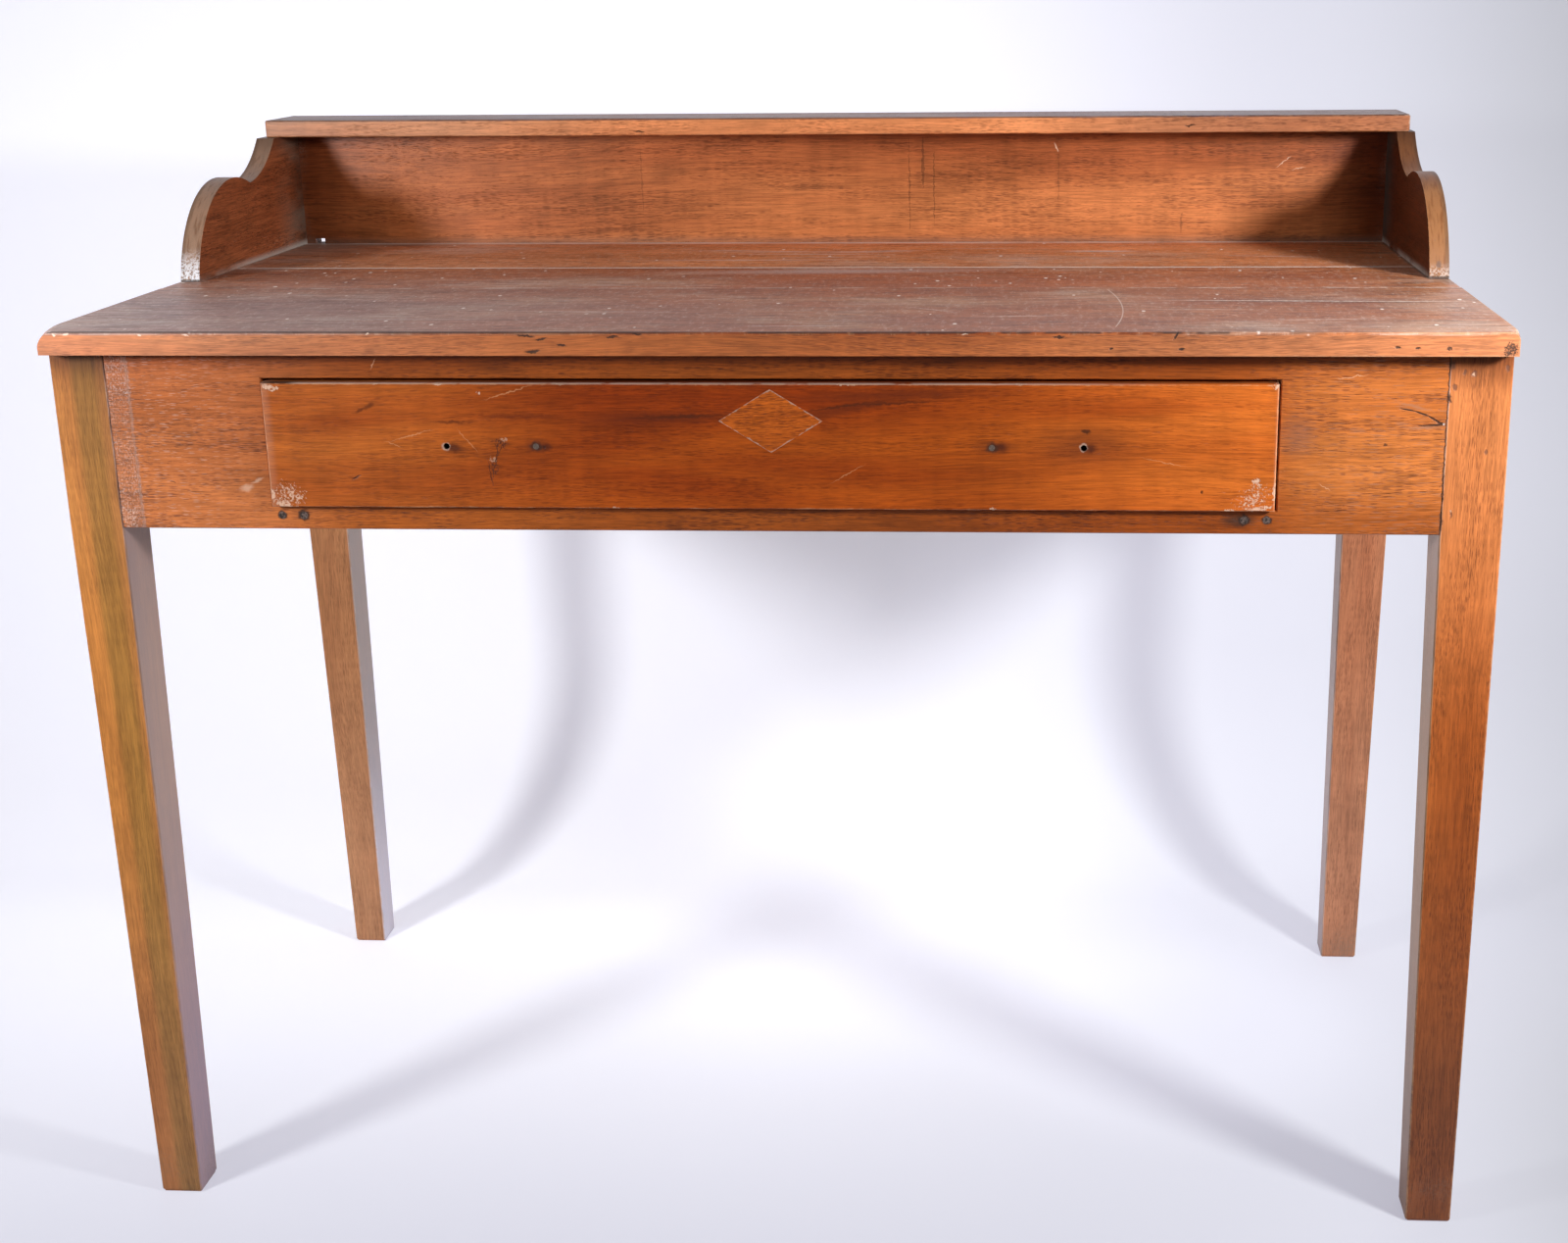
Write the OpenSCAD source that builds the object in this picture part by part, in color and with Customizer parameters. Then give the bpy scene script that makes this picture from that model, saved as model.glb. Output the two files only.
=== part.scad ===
// Writing desk with one drawer and a low gallery that carries a narrow shelf.
// The origin is on the floor, under the middle of the whole desk. The front faces -Y.

/* [Desk top] */
// Width of the desk, over the ends of the top and the legs
desk_w = 1113; // [900:1:1400]
// Depth of the top, front edge to back edge
top_d = 575; // [520:1:680]
// Height of the writing surface above the floor
desk_h = 760; // [700:1:820]
// Thickness of the boards of the top
top_t = 18; // [16:1:26]
// Width of the front board of the top
top_front_w = 233; // [200:1:250]
// Width of the middle board of the top
top_middle_w = 132; // [110:1:160]
// Radius worn on the upper front corner of the left end
top_left_round = 14; // [1:0.5:15]
// Radius worn on the upper front corner of the right end
top_right_round = 8; // [1:0.5:15]
// Angle at which a worn corner runs out into the end of the top
worn_turn = 20; // [12:1:40]

/* [Frame] */
// How far the top stands out in front of the front legs
front_over = 16; // [8:1:30]
// How far the top stands out behind the back legs
back_over = 5; // [0:1:20]
// Height of the aprons under the top
apron_h = 139.5; // [125:0.5:170]
// Thickness of the aprons
apron_t = 20; // [18:1:26]
// Length of the tenons on the aprons
tenon_l = 25; // [15:1:28]
// Thickness of the tenons
tenon_t = 10; // [6:1:12]
// Step from the outer face of an apron to its tenon
tenon_in = 5; // [3:1:8]
// Step from the edges of an apron to its tenons
tenon_step = 12; // [6:1:20]

/* [Legs] */
// Width of the left-hand legs beside the aprons
leg_left_w = 43; // [38:0.5:60]
// Width of the right-hand legs beside the aprons
leg_right_w = 47; // [38:0.5:60]
// Depth of the legs beside the aprons
leg_d = 46; // [40:0.5:60]
// Width of the left-hand feet
foot_left_w = 35; // [24:0.5:38]
// Width of the right-hand feet
foot_right_w = 37.5; // [24:0.5:38]
// Depth of the feet
foot_d = 34; // [24:0.5:38]
// How far the front of a front foot stands behind its leg's front face
front_foot_back = 10; // [0:0.5:10]
// How far the back feet stand in from the ends of the desk
back_foot_in = 11; // [0:0.5:11]
// Small slope worn round the foot of each leg
foot_worn = 1.5; // [0.5:0.5:4]

/* [Drawer opening and runners] */
// Width of the front apron to the left of the drawer opening
beside_left = 121.5; // [110:0.5:200]
// Width of the front apron to the right of the drawer opening
beside_right = 123.5; // [115:0.5:200]
// Height of the drawer opening
opening_h = 100.5; // [80:0.5:105]
// Height of the rail left below the opening
rail_h = 18.5; // [14:0.5:22]
// Width of a drawer runner
runner_w = 50; // [36:1:70]
// Part of the runner's width that is under the drawer
runner_under = 30; // [18:1:32]
// Height of a drawer guide
guide_h = 16; // [10:1:30]
// Gap between a drawer side and its guide
guide_gap = 1; // [0.5:0.1:3]
// Width of a kicker, the strip that keeps the pulled drawer level
kicker_w = 45; // [30:1:60]
// Width of a drawer stop
stop_w = 26; // [15:1:35]
// Height of a drawer stop
stop_h = 20; // [10:1:30]
// Length of a drawer stop, from the back apron to the drawer
stop_l = 20.7; // [15:0.1:100]

/* [Drawer] */
// How far the drawer's face stands out of the front apron
face_proud = 7; // [0:0.5:12]
// Thickness of the drawer front
face_t = 20; // [18:0.5:26]
// Gap at each end of the drawer front
face_side_gap = 2; // [1:0.1:4]
// Gap over the drawer front
face_top_gap = 2.2; // [1:0.1:5]
// Gap under the drawer front
face_low_gap = 0.8; // [0.5:0.1:2]
// Thickness of the drawer sides
drawer_side_t = 12; // [9:0.5:16]
// Gap over the drawer sides
side_top_gap = 5.2; // [2:0.1:20]
// How far the drawer back ends below its sides
back_low = 5; // [0:1:20]
// Thickness of the drawer back
drawer_back_t = 12; // [9:0.5:16]
// Gap between the closed drawer and its stops, and under its sides
run_gap = 0.3; // [0.2:0.1:1]
// Thickness of the drawer bottom
bottom_t = 7; // [5:0.5:9]
// Height of the drawer bottom above the lower edge of the sides
bottom_up = 8; // [6:0.5:12]
// Depth of the groove that holds the bottom
groove_in = 6; // [3:0.5:7]
// Depth of the housing that holds the back
housing_in = 4; // [2:0.5:6]
// Distance from the drawer back to the back end of the sides
back_in = 6; // [4:1:20]
// Number of dovetails in each front corner
tails = 3; // [2:1:4]
// Width of a dovetail at its root
tail_w = 16; // [12:0.5:18]
// Widening of a dovetail towards its end, on each side
tail_flare = 2.3; // [1:0.1:3]
// Wood left between a dovetail and the drawer's face
tail_lap = 6; // [4:0.5:8]

/* [Inlay and pull holes] */
// Width of the diamond inlay
diamond_w = 79.5; // [40:0.5:100]
// Height of the diamond inlay
diamond_h = 49; // [30:0.5:50]
// Thickness of the diamond inlay
diamond_t = 3; // [1:0.5:6]
// How far the diamond is to the right of the drawer's middle
diamond_x = 5; // [-20:0.5:20]
// Distance of the diamond's middle from the upper edge of the drawer front
diamond_down = 28.5; // [26:0.5:50]
// Distance between the middles of the two places for pulls
pulls_apart = 418.4; // [200:0.1:600]
// Distance between the two screw holes of one pull
pull_holes = 69.4; // [40:0.1:100]
// How far the pulls are to the left of the drawer's middle
pulls_left = 1.6; // [-10:0.1:10]
// Radius of a screw hole
pull_hole_r = 2.3; // [1.5:0.1:4]

/* [Gallery] */
// Height of the gallery, from the top to the shelf
gallery_h = 109; // [85:0.5:180]
// Thickness of the gallery's sides
gallery_side_t = 17; // [14:0.5:24]
// Length of the left side of the gallery at its foot
gallery_left_l = 298; // [260:1:330]
// Length of the right side of the gallery at its foot
gallery_right_l = 286; // [260:1:330]
// Height of the round hump in front
hump_h = 81.6; // [60:0.2:84]
// Radius of the hump
hump_r = 104; // [90:1:140]
// Distance from the front of a side to the low point behind the hump
cove_l = 142; // [110:1:150]
// Radius of the hollow that climbs from there to the shelf
cove_r = 117; // [80:1:200]
// Distance from the front of a side to the corner under the shelf
corner_l = 214; // [180:1:225]
// Thickness of the gallery's back
gallery_back_t = 18; // [12:0.5:22]
// Depth of the step in the sides that holds the back
rabbet_in = 8; // [4:0.5:10]
// Width of the notch broken out of the back's lower left corner
notch_w = 10; // [4:1:20]
// Height of that notch
notch_h = 5; // [2:0.5:10]
// Distance of that notch from the inside of the left side
notch_x = 8.5; // [2:0.5:20]

/* [Shelf] */
// Depth of the shelf
shelf_d = 78; // [50:1:140]
// Thickness of the shelf
shelf_t = 16; // [12:0.5:24]
// How far the shelf stands out behind the gallery's back
shelf_over = 6; // [0:0.5:20]
// How far each end of the shelf is inside the end of the desk
shelf_in = 5; // [0:0.5:8]

/* [Dowels, blocks and nails] */
// Radius of the dowels
dowel_r = 4; // [3:0.5:5]
// Distance of the gallery's front dowels from the front of its sides
dowel_front = 45; // [20:1:80]
// Distance of the gallery's rear dowels from the back of its sides
dowel_rear = 60; // [40:1:80]
// Length of the dowels between the boards of the top
dowel_l = 40; // [20:1:60]
// Number of dowels in each joint of the top
dowel_n = 4; // [2:1:8]
// Depth of the gallery's dowels in the top
dowel_down = 12; // [6:1:14]
// Depth of the gallery's dowels in the gallery
dowel_up = 20; // [10:1:40]
// Length of a glue block
block_l = 60; // [30:1:100]
// Width and height of a glue block
block_w = 18; // [12:1:19]
// Distance of the outer runner nail from the outside of the drawer
nail_in = 5; // [2:1:10]
// Distance between the two nails in the end of a runner
nail_step = 17; // [8:1:18]
// Height of the runner nails above the foot of the aprons
nail_up = 11; // [8:0.5:12]
// Distance of the shelf's side nails from its front edge
pin_in = 27; // [10:1:40]
// Radius of a large nail's head
nail_head_r = 3; // [2:0.1:4]
// Radius of a large nail
nail_r = 1.4; // [0.8:0.1:1.8]
// Length of a large nail
nail_l = 50; // [35:1:70]
// Radius of a small nail's head
pin_head_r = 1.8; // [1.4:0.1:2]
// Radius of a small nail
pin_r = 0.9; // [0.5:0.1:1.2]
// Length of a small nail
pin_l = 24; // [18:1:26]
// Thickness of the nail heads
head_t = 1; // [0.5:0.1:2]

/* [Hidden] */
$fn = 48;

// glue space round a tenon or a dovetail, and round a nail or a dowel
glue_gap = 0.1;
bore_gap = 0.05;
// how far a cutting shape runs past the face that it cuts
past = 1;
// how far the round of a worn corner lies outside the end, so that it meets the end at an angle
worn_past = 0.2;

left = -1;
right = 1;

// heights and depths of the frame; a depth is counted from the top's front edge
whole_d = top_d + shelf_over;
front_y = -whole_d / 2;
leg_h = desk_h - top_t;
apron_z = leg_h - apron_h;
frame_back = top_d - back_over;
inside_front = front_over + apron_t;
inside_back = frame_back - apron_t;
tenon_h = apron_h - 2 * tenon_step;

function leg_w(side) = side == left ? leg_left_w : leg_right_w;
function foot_w(side) = side == left ? foot_left_w : foot_right_w;
function gallery_l(side) = side == left ? gallery_left_l : gallery_right_l;

// the opening and the drawer
opening_z = apron_z + rail_h;
opening_top = opening_z + opening_h;
opening_left = -desk_w / 2 + leg_left_w + beside_left;
opening_w = desk_w / 2 - leg_right_w - beside_right - opening_left;
drawer_x = opening_left + opening_w / 2;
face_w = opening_w - 2 * face_side_gap;
face_z = opening_z + face_low_gap;
face_h = opening_h - face_low_gap - face_top_gap;
face_front = front_over - face_proud;
face_back = face_front + face_t;
drawer_end = inside_back - stop_l - run_gap;
drawer_z = opening_z + run_gap;
drawer_side_h = opening_h - run_gap - side_top_gap;
bottom_z = drawer_z + bottom_up;
bottom_top = bottom_z + bottom_t;
back_front = drawer_end - back_in - drawer_back_t;
back_top = drawer_z + drawer_side_h - back_low;
inner_half = face_w / 2 - drawer_side_t;
tail_l = face_t - tail_lap;
bottom_half_l = (drawer_end - face_back + groove_in) / 2;
outer_hole = (pulls_apart + pull_holes) / 2;
inner_hole = (pulls_apart - pull_holes) / 2;

// the gallery
hump_z = hump_h - hump_r;
hump_y = sqrt(hump_r * hump_r - hump_z * hump_z);
cove_start = [cove_l, hump_z + sqrt(pow(hump_r, 2) - pow(cove_l - hump_y, 2))];
cove_end = [corner_l, gallery_h];
gallery_z = desk_h + gallery_h;
gallery_inner = desk_w / 2 - gallery_side_t;

// colours of the woods and the iron
top_colour = "#8a4b27";
leg_colour = "#a8602c";
apron_colour = "#ad5a26";
face_colour = "#b35f22";
gallery_colour = "#8f4a20";
inside_colour = "#c39a68";
inlay_colour = "#c8762f";
iron_colour = "#3a3029";

// moves a shape to a width from the middle, a depth from the front edge, and a height
module at(x, depth, z) {
    translate([x, front_y + depth, z]) children();
}

// draws a shape for the left, and its mirror image for the right
module on_side(side) {
    if (side == left) children();
    else mirror([1, 0, 0]) children();
}

// pushes an outline in depth and height along the width, from 0
module across(length) {
    rotate([90, 0, 90]) linear_extrude(length) children();
}

// pushes an outline in width and height along the depth, from 0
module along(length) {
    translate([0, length, 0]) rotate([90, 0, 0]) linear_extrude(length) children();
}

// a nail that points away from -Z, with its head flush at 0
module nail(head, shank, length, gap) {
    cylinder(h = head_t + gap, r = head + gap);
    cylinder(h = length + gap, r = shank + gap);
}

// what a radius takes off the upper left corner of a rectangle
module worn_corner(r) {
    difference() {
        translate([-past, -r]) square([r + past, r + past]);
        translate([r, -r]) circle(r);
    }
}

// what wear takes off the upper front corner of the top's left end, from the corner of the end
module worn_end(r) {
    rotate([0, 0, worn_turn])
        translate([-worn_past, -r, 0])
        along(r + r / tan(worn_turn))
        worn_corner(r);
}

// one board of the top, from depth a to depth b
module top_board(a, b) {
    difference() {
        at(-desk_w / 2, a, desk_h - top_t) cube([desk_w, b - a, top_t]);
        top_dowel_set(bore_gap);
        gallery_dowel_set(bore_gap);
    }
}

module top_board_front() {
    color(top_colour) difference() {
        top_board(0, top_front_w);
        at(-desk_w / 2, 0, desk_h) worn_end(top_left_round);
        at(desk_w / 2, 0, desk_h) mirror([1, 0, 0]) worn_end(top_right_round);
    }
}

module top_board_middle() {
    color(top_colour) top_board(top_front_w, top_front_w + top_middle_w);
}

module top_board_rear() {
    color(top_colour) top_board(top_front_w + top_middle_w, top_d);
}

// the dowels across the two joints of the top
module top_dowel_set(gap) {
    spacing = desk_w / dowel_n;
    for (depth = [top_front_w, top_front_w + top_middle_w], i = [0 : dowel_n - 1]) {
        at((i + 0.5) * spacing - desk_w / 2, depth - dowel_l / 2 - gap, desk_h - top_t / 2)
            rotate([-90, 0, 0])
            cylinder(h = dowel_l + 2 * gap, r = dowel_r + gap);
    }
}

module top_dowels() {
    color(inside_colour) top_dowel_set(0);
}

// a leg in its own place: x from the outer face inwards, y from its front face
module leg_blank(side, is_back) {
    foot_x = is_back ? back_foot_in : 0;
    foot_y = is_back ? 0 : front_foot_back;
    wide = leg_w(side);
    foot = foot_w(side);
    intersection() {
        along(leg_d) polygon([
            [foot_x + foot_worn, 0], [foot_x + foot - foot_worn, 0], [foot_x + foot, foot_worn],
            [wide, apron_z], [wide, leg_h], [0, leg_h], [0, apron_z], [foot_x, foot_worn],
        ]);
        across(wide) polygon([
            [foot_y + foot_worn, 0], [foot_y + foot_d - foot_worn, 0], [foot_y + foot_d, foot_worn],
            [leg_d, apron_z], [leg_d, leg_h], [0, leg_h], [0, apron_z], [foot_y, foot_worn],
        ]);
    }
}

// the tenon of the front or the back apron, in the leg's own place
module long_tenon(side, is_back, gap) {
    depth = is_back ? leg_d - tenon_in - tenon_t : tenon_in;
    translate([leg_w(side) - tenon_l - gap, depth - gap, apron_z + tenon_step - gap])
        cube([tenon_l + gap + past, tenon_t + 2 * gap, tenon_h + 2 * gap]);
}

// the tenon of a side apron, in the leg's own place
module side_tenon(is_back, gap) {
    depth = is_back ? -past : leg_d - tenon_l - gap;
    translate([tenon_in - gap, depth, apron_z + tenon_step - gap])
        cube([tenon_t + 2 * gap, tenon_l + gap + past, tenon_h + 2 * gap]);
}

// puts what is drawn in a leg's own place where that leg stands
module at_leg(side, is_back) {
    on_side(side) at(-desk_w / 2, is_back ? frame_back - leg_d : front_over, 0) children();
}

module leg(side, is_back) {
    color(leg_colour) at_leg(side, is_back) difference() {
        leg_blank(side, is_back);
        long_tenon(side, is_back, glue_gap);
        side_tenon(is_back, glue_gap);
    }
}

module leg_front_left() {
    leg(left, false);
}

module leg_front_right() {
    leg(right, false);
}

module leg_back_left() {
    leg(left, true);
}

module leg_back_right() {
    leg(right, true);
}

// a board of the front or back apron, with a tenon at each end
module long_apron(is_back) {
    at(-desk_w / 2 + leg_left_w, is_back ? inside_back : front_over, apron_z)
        cube([desk_w - leg_left_w - leg_right_w, apron_t, apron_h]);
    for (side = [left, right]) at_leg(side, is_back) long_tenon(side, is_back, 0);
}

module apron_front() {
    color(apron_colour) difference() {
        long_apron(false);
        at(opening_left, front_over - past, opening_z)
            cube([opening_w, apron_t + 2 * past, opening_h]);
        runner_nail_set(bore_gap);
    }
}

module apron_back() {
    color(inside_colour) difference() {
        long_apron(true);
        runner_nail_set(bore_gap);
    }
}

module side_apron(side) {
    color(apron_colour) {
        on_side(side)
            at(-desk_w / 2, front_over + leg_d, apron_z)
            cube([apron_t, frame_back - front_over - 2 * leg_d, apron_h]);
        for (is_back = [false, true]) at_leg(side, is_back) side_tenon(is_back, 0);
    }
}

module apron_left() {
    side_apron(left);
}

module apron_right() {
    side_apron(right);
}

// a block with its two glued faces at 0, drawn in depth and height
module block_outline() {
    thin = block_w / 4;
    polygon([[0, 0], [block_w, 0], [block_w, -thin], [thin, -block_w], [0, -block_w]]);
}

// the blocks that hold the top on the aprons
module glue_blocks() {
    reach = desk_w / 2 - leg_left_w - block_l;
    color(inside_colour) {
        for (x = [-reach, 0, reach]) {
            at(x - block_l / 2, inside_front, leg_h) across(block_l) block_outline();
            at(x + block_l / 2, inside_back, leg_h) rotate([0, 0, 180]) across(block_l) block_outline();
        }
        for (side = [left, right], share = [1 / 3, 2 / 3]) {
            on_side(side)
                at(-desk_w / 2 + apron_t, inside_front + share * (inside_back - inside_front), leg_h)
                rotate([0, 0, -90])
                across(block_l)
                block_outline();
        }
    }
}

// middle of the drawer, then outwards to the left or the right
module from_drawer(side) {
    translate([drawer_x, 0, 0]) on_side(side) translate([-face_w / 2, 0, 0]) children();
}

// a straight strip inside the frame, from the front apron to the back apron
module strip(side, x, z, wide, high) {
    from_drawer(side) at(x, inside_front, z) cube([wide, inside_back - inside_front, high]);
}

module runner(side) {
    color(inside_colour) difference() {
        strip(side, runner_under - runner_w, apron_z, runner_w, rail_h);
        runner_nail_set(bore_gap);
    }
}

module runner_left() {
    runner(left);
}

module runner_right() {
    runner(right);
}

module guide(side) {
    wide = runner_w - runner_under - guide_gap;
    color(inside_colour) strip(side, runner_under - runner_w, opening_z, wide, guide_h);
}

module guide_left() {
    guide(left);
}

module guide_right() {
    guide(right);
}

module kicker(side) {
    color(inside_colour)
        strip(side, runner_under - runner_w, opening_top, kicker_w, leg_h - opening_top);
}

module kicker_left() {
    kicker(left);
}

module kicker_right() {
    kicker(right);
}

module drawer_stops() {
    color(inside_colour) {
        for (side = [left, right]) {
            from_drawer(side)
                at(runner_under - stop_w, inside_back - stop_l, opening_z)
                cube([stop_w, stop_l, stop_h]);
        }
    }
}

// the nails through the front and back aprons into the runners
module runner_nail_set(gap) {
    nail_z = apron_z + nail_up;
    for (side = [left, right], x = [nail_in, nail_in + nail_step]) {
        from_drawer(side) {
            at(x, front_over - gap, nail_z) rotate([-90, 0, 0]) nail(nail_head_r, nail_r, nail_l, gap);
            at(x, frame_back + gap, nail_z) rotate([90, 0, 0]) nail(nail_head_r, nail_r, nail_l, gap);
        }
    }
}

module runner_nails() {
    color(iron_colour) runner_nail_set(0);
}

// centre of the circle of radius r that passes under a and b
function circle_over(a, b, r) =
    let (half = (b - a) / 2, m = norm(half), rise = sqrt(r * r - m * m) / m)
    a + half + rise * [-half.y, half.x];

// outline of a gallery side, in depth from its front and height from the top
module gallery_outline(length) {
    cove = circle_over(cove_start, cove_end, cove_r);
    intersection() {
        translate([hump_y, hump_z]) circle(hump_r, $fn = 180);
        square([cove_l, hump_h + past]);
    }
    difference() {
        translate([cove_l, 0]) square([length - cove_l, gallery_h]);
        translate(cove) circle(cove_r, $fn = 180);
    }
}

module gallery_side(side) {
    length = gallery_l(side);
    color(gallery_colour) difference() {
        on_side(side) difference() {
            at(-desk_w / 2, top_d - length, desk_h) across(gallery_side_t) gallery_outline(length);
            at(-desk_w / 2 + gallery_side_t - rabbet_in, top_d - gallery_back_t, desk_h - past)
                cube([rabbet_in + past, gallery_back_t + past, gallery_h + 2 * past]);
        }
        gallery_dowel_set(bore_gap);
        shelf_nail_set(bore_gap);
    }
}

module gallery_side_left() {
    gallery_side(left);
}

module gallery_side_right() {
    gallery_side(right);
}

module gallery_back() {
    half = gallery_inner + rabbet_in;
    color(gallery_colour) difference() {
        at(-half, top_d - gallery_back_t, desk_h) cube([2 * half, gallery_back_t, gallery_h]);
        at(-gallery_inner + notch_x, top_d - gallery_back_t - past, desk_h - past)
            cube([notch_w, gallery_back_t + 2 * past, notch_h + past]);
        gallery_dowel_set(bore_gap);
        shelf_nail_set(bore_gap);
    }
}

module gallery_shelf() {
    color(gallery_colour) difference() {
        at(-desk_w / 2 + shelf_in, whole_d - shelf_d, gallery_z)
            cube([desk_w - 2 * shelf_in, shelf_d, shelf_t]);
        shelf_nail_set(bore_gap);
    }
}

// an upright dowel that joins the gallery to the top
module gallery_dowel(x, depth, gap) {
    at(x, depth, desk_h - dowel_down - gap)
        cylinder(h = dowel_down + dowel_up + 2 * gap, r = dowel_r + gap);
}

module gallery_dowel_set(gap) {
    side_x = desk_w / 2 - gallery_side_t / 2;
    for (x = [-side_x, side_x]) {
        length = gallery_l(sign(x));
        gallery_dowel(x, top_d - length + dowel_front, gap);
        gallery_dowel(x, top_d - dowel_rear, gap);
    }
    for (x = [-gallery_inner * 2 / 3, 0, gallery_inner * 2 / 3]) {
        gallery_dowel(x, top_d - gallery_back_t / 2, gap);
    }
}

module gallery_dowels() {
    color(inside_colour) gallery_dowel_set(0);
}

// the nails through the shelf into the gallery's sides and back
module shelf_nail_set(gap) {
    side_x = (gallery_inner + desk_w / 2 - shelf_in) / 2;
    for (x = [-side_x, side_x]) {
        at(x, whole_d - shelf_d + pin_in, gallery_z + shelf_t + gap)
            rotate([180, 0, 0])
            nail(pin_head_r, pin_r, pin_l + shelf_t, gap);
    }
    for (i = [-2 : 2]) {
        at(i * gallery_inner * 2 / 5, top_d - gallery_back_t / 2, gallery_z + shelf_t + gap)
            rotate([180, 0, 0])
            nail(pin_head_r, pin_r, pin_l + shelf_t, gap);
    }
}

module shelf_nails() {
    color(iron_colour) shelf_nail_set(0);
}

// the dovetails on one drawer side, in depth from their ends and in height
module tail_outline(gap) {
    spacing = (drawer_side_h - bottom_up) / tails;
    for (i = [0 : tails - 1]) {
        z = bottom_up + (i + 0.5) * spacing;
        polygon([
            [-gap, z - tail_w / 2 - tail_flare - gap], [tail_l + past, z - tail_w / 2 - gap],
            [tail_l + past, z + tail_w / 2 + gap], [-gap, z + tail_w / 2 + tail_flare + gap],
        ]);
    }
}

module tail_set(side, gap) {
    from_drawer(side)
        at(-gap, face_back - tail_l, drawer_z)
        across(drawer_side_t + 2 * gap)
        tail_outline(gap);
}

// the board that lies in the grooves, with a gap all round for the grooves themselves
module bottom_space(gap) {
    wide = 2 * inner_half + 2 * groove_in - 2 * glue_gap;
    at(drawer_x - wide / 2 - gap, face_back - groove_in + glue_gap - gap, bottom_z)
        cube([wide + 2 * gap, drawer_end - face_back + groove_in - glue_gap + gap + past, bottom_t + gap]);
}

module diamond_outline(gap) {
    half_w = diamond_w / 2 + gap;
    half_h = diamond_h / 2 + gap;
    polygon([[-half_w, 0], [0, -half_h], [half_w, 0], [0, half_h]]);
}

module diamond(depth, gap) {
    at(drawer_x + diamond_x, face_front - past, face_z + face_h - diamond_down)
        along(depth + past)
        diamond_outline(gap);
}

// the screw holes of the two lost pulls; the inner hole of each pair is filled
module pull_hole(offset, gap) {
    at(drawer_x - pulls_left + offset, face_front, face_z + face_h / 2)
        rotate([-90, 0, 0])
        cylinder(h = face_t, r = pull_hole_r + gap);
}

module drawer_front() {
    color(face_colour) difference() {
        at(drawer_x - face_w / 2, face_front, face_z) cube([face_w, face_t, face_h]);
        for (side = [left, right]) tail_set(side, glue_gap);
        bottom_space(glue_gap);
        diamond(diamond_t, bore_gap);
        for (offset = [-outer_hole, outer_hole]) pull_hole(offset, 0);
        for (offset = [-inner_hole, inner_hole]) pull_hole(offset, bore_gap);
    }
}

module drawer_side(side) {
    color(inside_colour) difference() {
        union() {
            from_drawer(side)
                at(0, face_back, drawer_z)
                cube([drawer_side_t, drawer_end - face_back, drawer_side_h]);
            tail_set(side, 0);
        }
        bottom_space(glue_gap);
        back_board(glue_gap);
        drawer_nail_set(bore_gap);
    }
}

module drawer_side_left() {
    drawer_side(left);
}

module drawer_side_right() {
    drawer_side(right);
}

// the drawer's back, standing on its bottom and housed in its sides
module back_board(gap) {
    half = inner_half + housing_in;
    at(drawer_x - half - gap, back_front - gap, bottom_top + glue_gap)
        cube([2 * half + 2 * gap, drawer_back_t + 2 * gap, back_top - bottom_top - glue_gap + gap]);
}

module drawer_back() {
    color(inside_colour) difference() {
        back_board(0);
        drawer_nail_set(bore_gap);
    }
}

// the bottom is two boards with a joint across the drawer's width
module bottom_board(a, b) {
    color(inside_colour) difference() {
        intersection() {
            bottom_space(0);
            at(-desk_w / 2, a, bottom_z) cube([desk_w, b - a, bottom_t]);
        }
        drawer_nail_set(bore_gap);
    }
}

module drawer_bottom_front() {
    bottom_board(0, face_back - groove_in + bottom_half_l);
}

module drawer_bottom_rear() {
    bottom_board(face_back - groove_in + bottom_half_l, drawer_end);
}

// the nails through the sides and through the bottom into the drawer's back
module drawer_nail_set(gap) {
    middle = back_front + drawer_back_t / 2;
    for (side = [left, right], share = [0.25, 0.75]) {
        from_drawer(side)
            at(-gap, middle, bottom_top + share * (back_top - bottom_top))
            rotate([0, 90, 0])
            nail(pin_head_r, pin_r, pin_l + drawer_side_t, gap);
    }
    for (share = [-0.75, -0.25, 0.25, 0.75]) {
        at(drawer_x + share * inner_half, middle, bottom_z - gap)
            nail(pin_head_r, pin_r, pin_l + bottom_t, gap);
    }
}

module drawer_nails() {
    color(iron_colour) drawer_nail_set(0);
}

module diamond_inlay() {
    color(inlay_colour) intersection() {
        diamond(diamond_t, 0);
        at(drawer_x - face_w / 2, face_front, face_z) cube([face_w, face_t, face_h]);
    }
}

module hole_plugs() {
    color(inlay_colour) for (offset = [-inner_hole, inner_hole]) pull_hole(offset, 0);
}

top_board_front();
top_board_middle();
top_board_rear();
top_dowels();
leg_front_left();
leg_front_right();
leg_back_left();
leg_back_right();
apron_front();
apron_back();
apron_left();
apron_right();
glue_blocks();
runner_left();
runner_right();
guide_left();
guide_right();
kicker_left();
kicker_right();
drawer_stops();
runner_nails();
gallery_side_left();
gallery_side_right();
gallery_back();
gallery_shelf();
gallery_dowels();
shelf_nails();
drawer_front();
drawer_side_left();
drawer_side_right();
drawer_back();
drawer_bottom_front();
drawer_bottom_rear();
drawer_nails();
diamond_inlay();
hole_plugs();
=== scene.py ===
import math

import bmesh
import bpy
from mathutils import Matrix, Vector, noise


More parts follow.
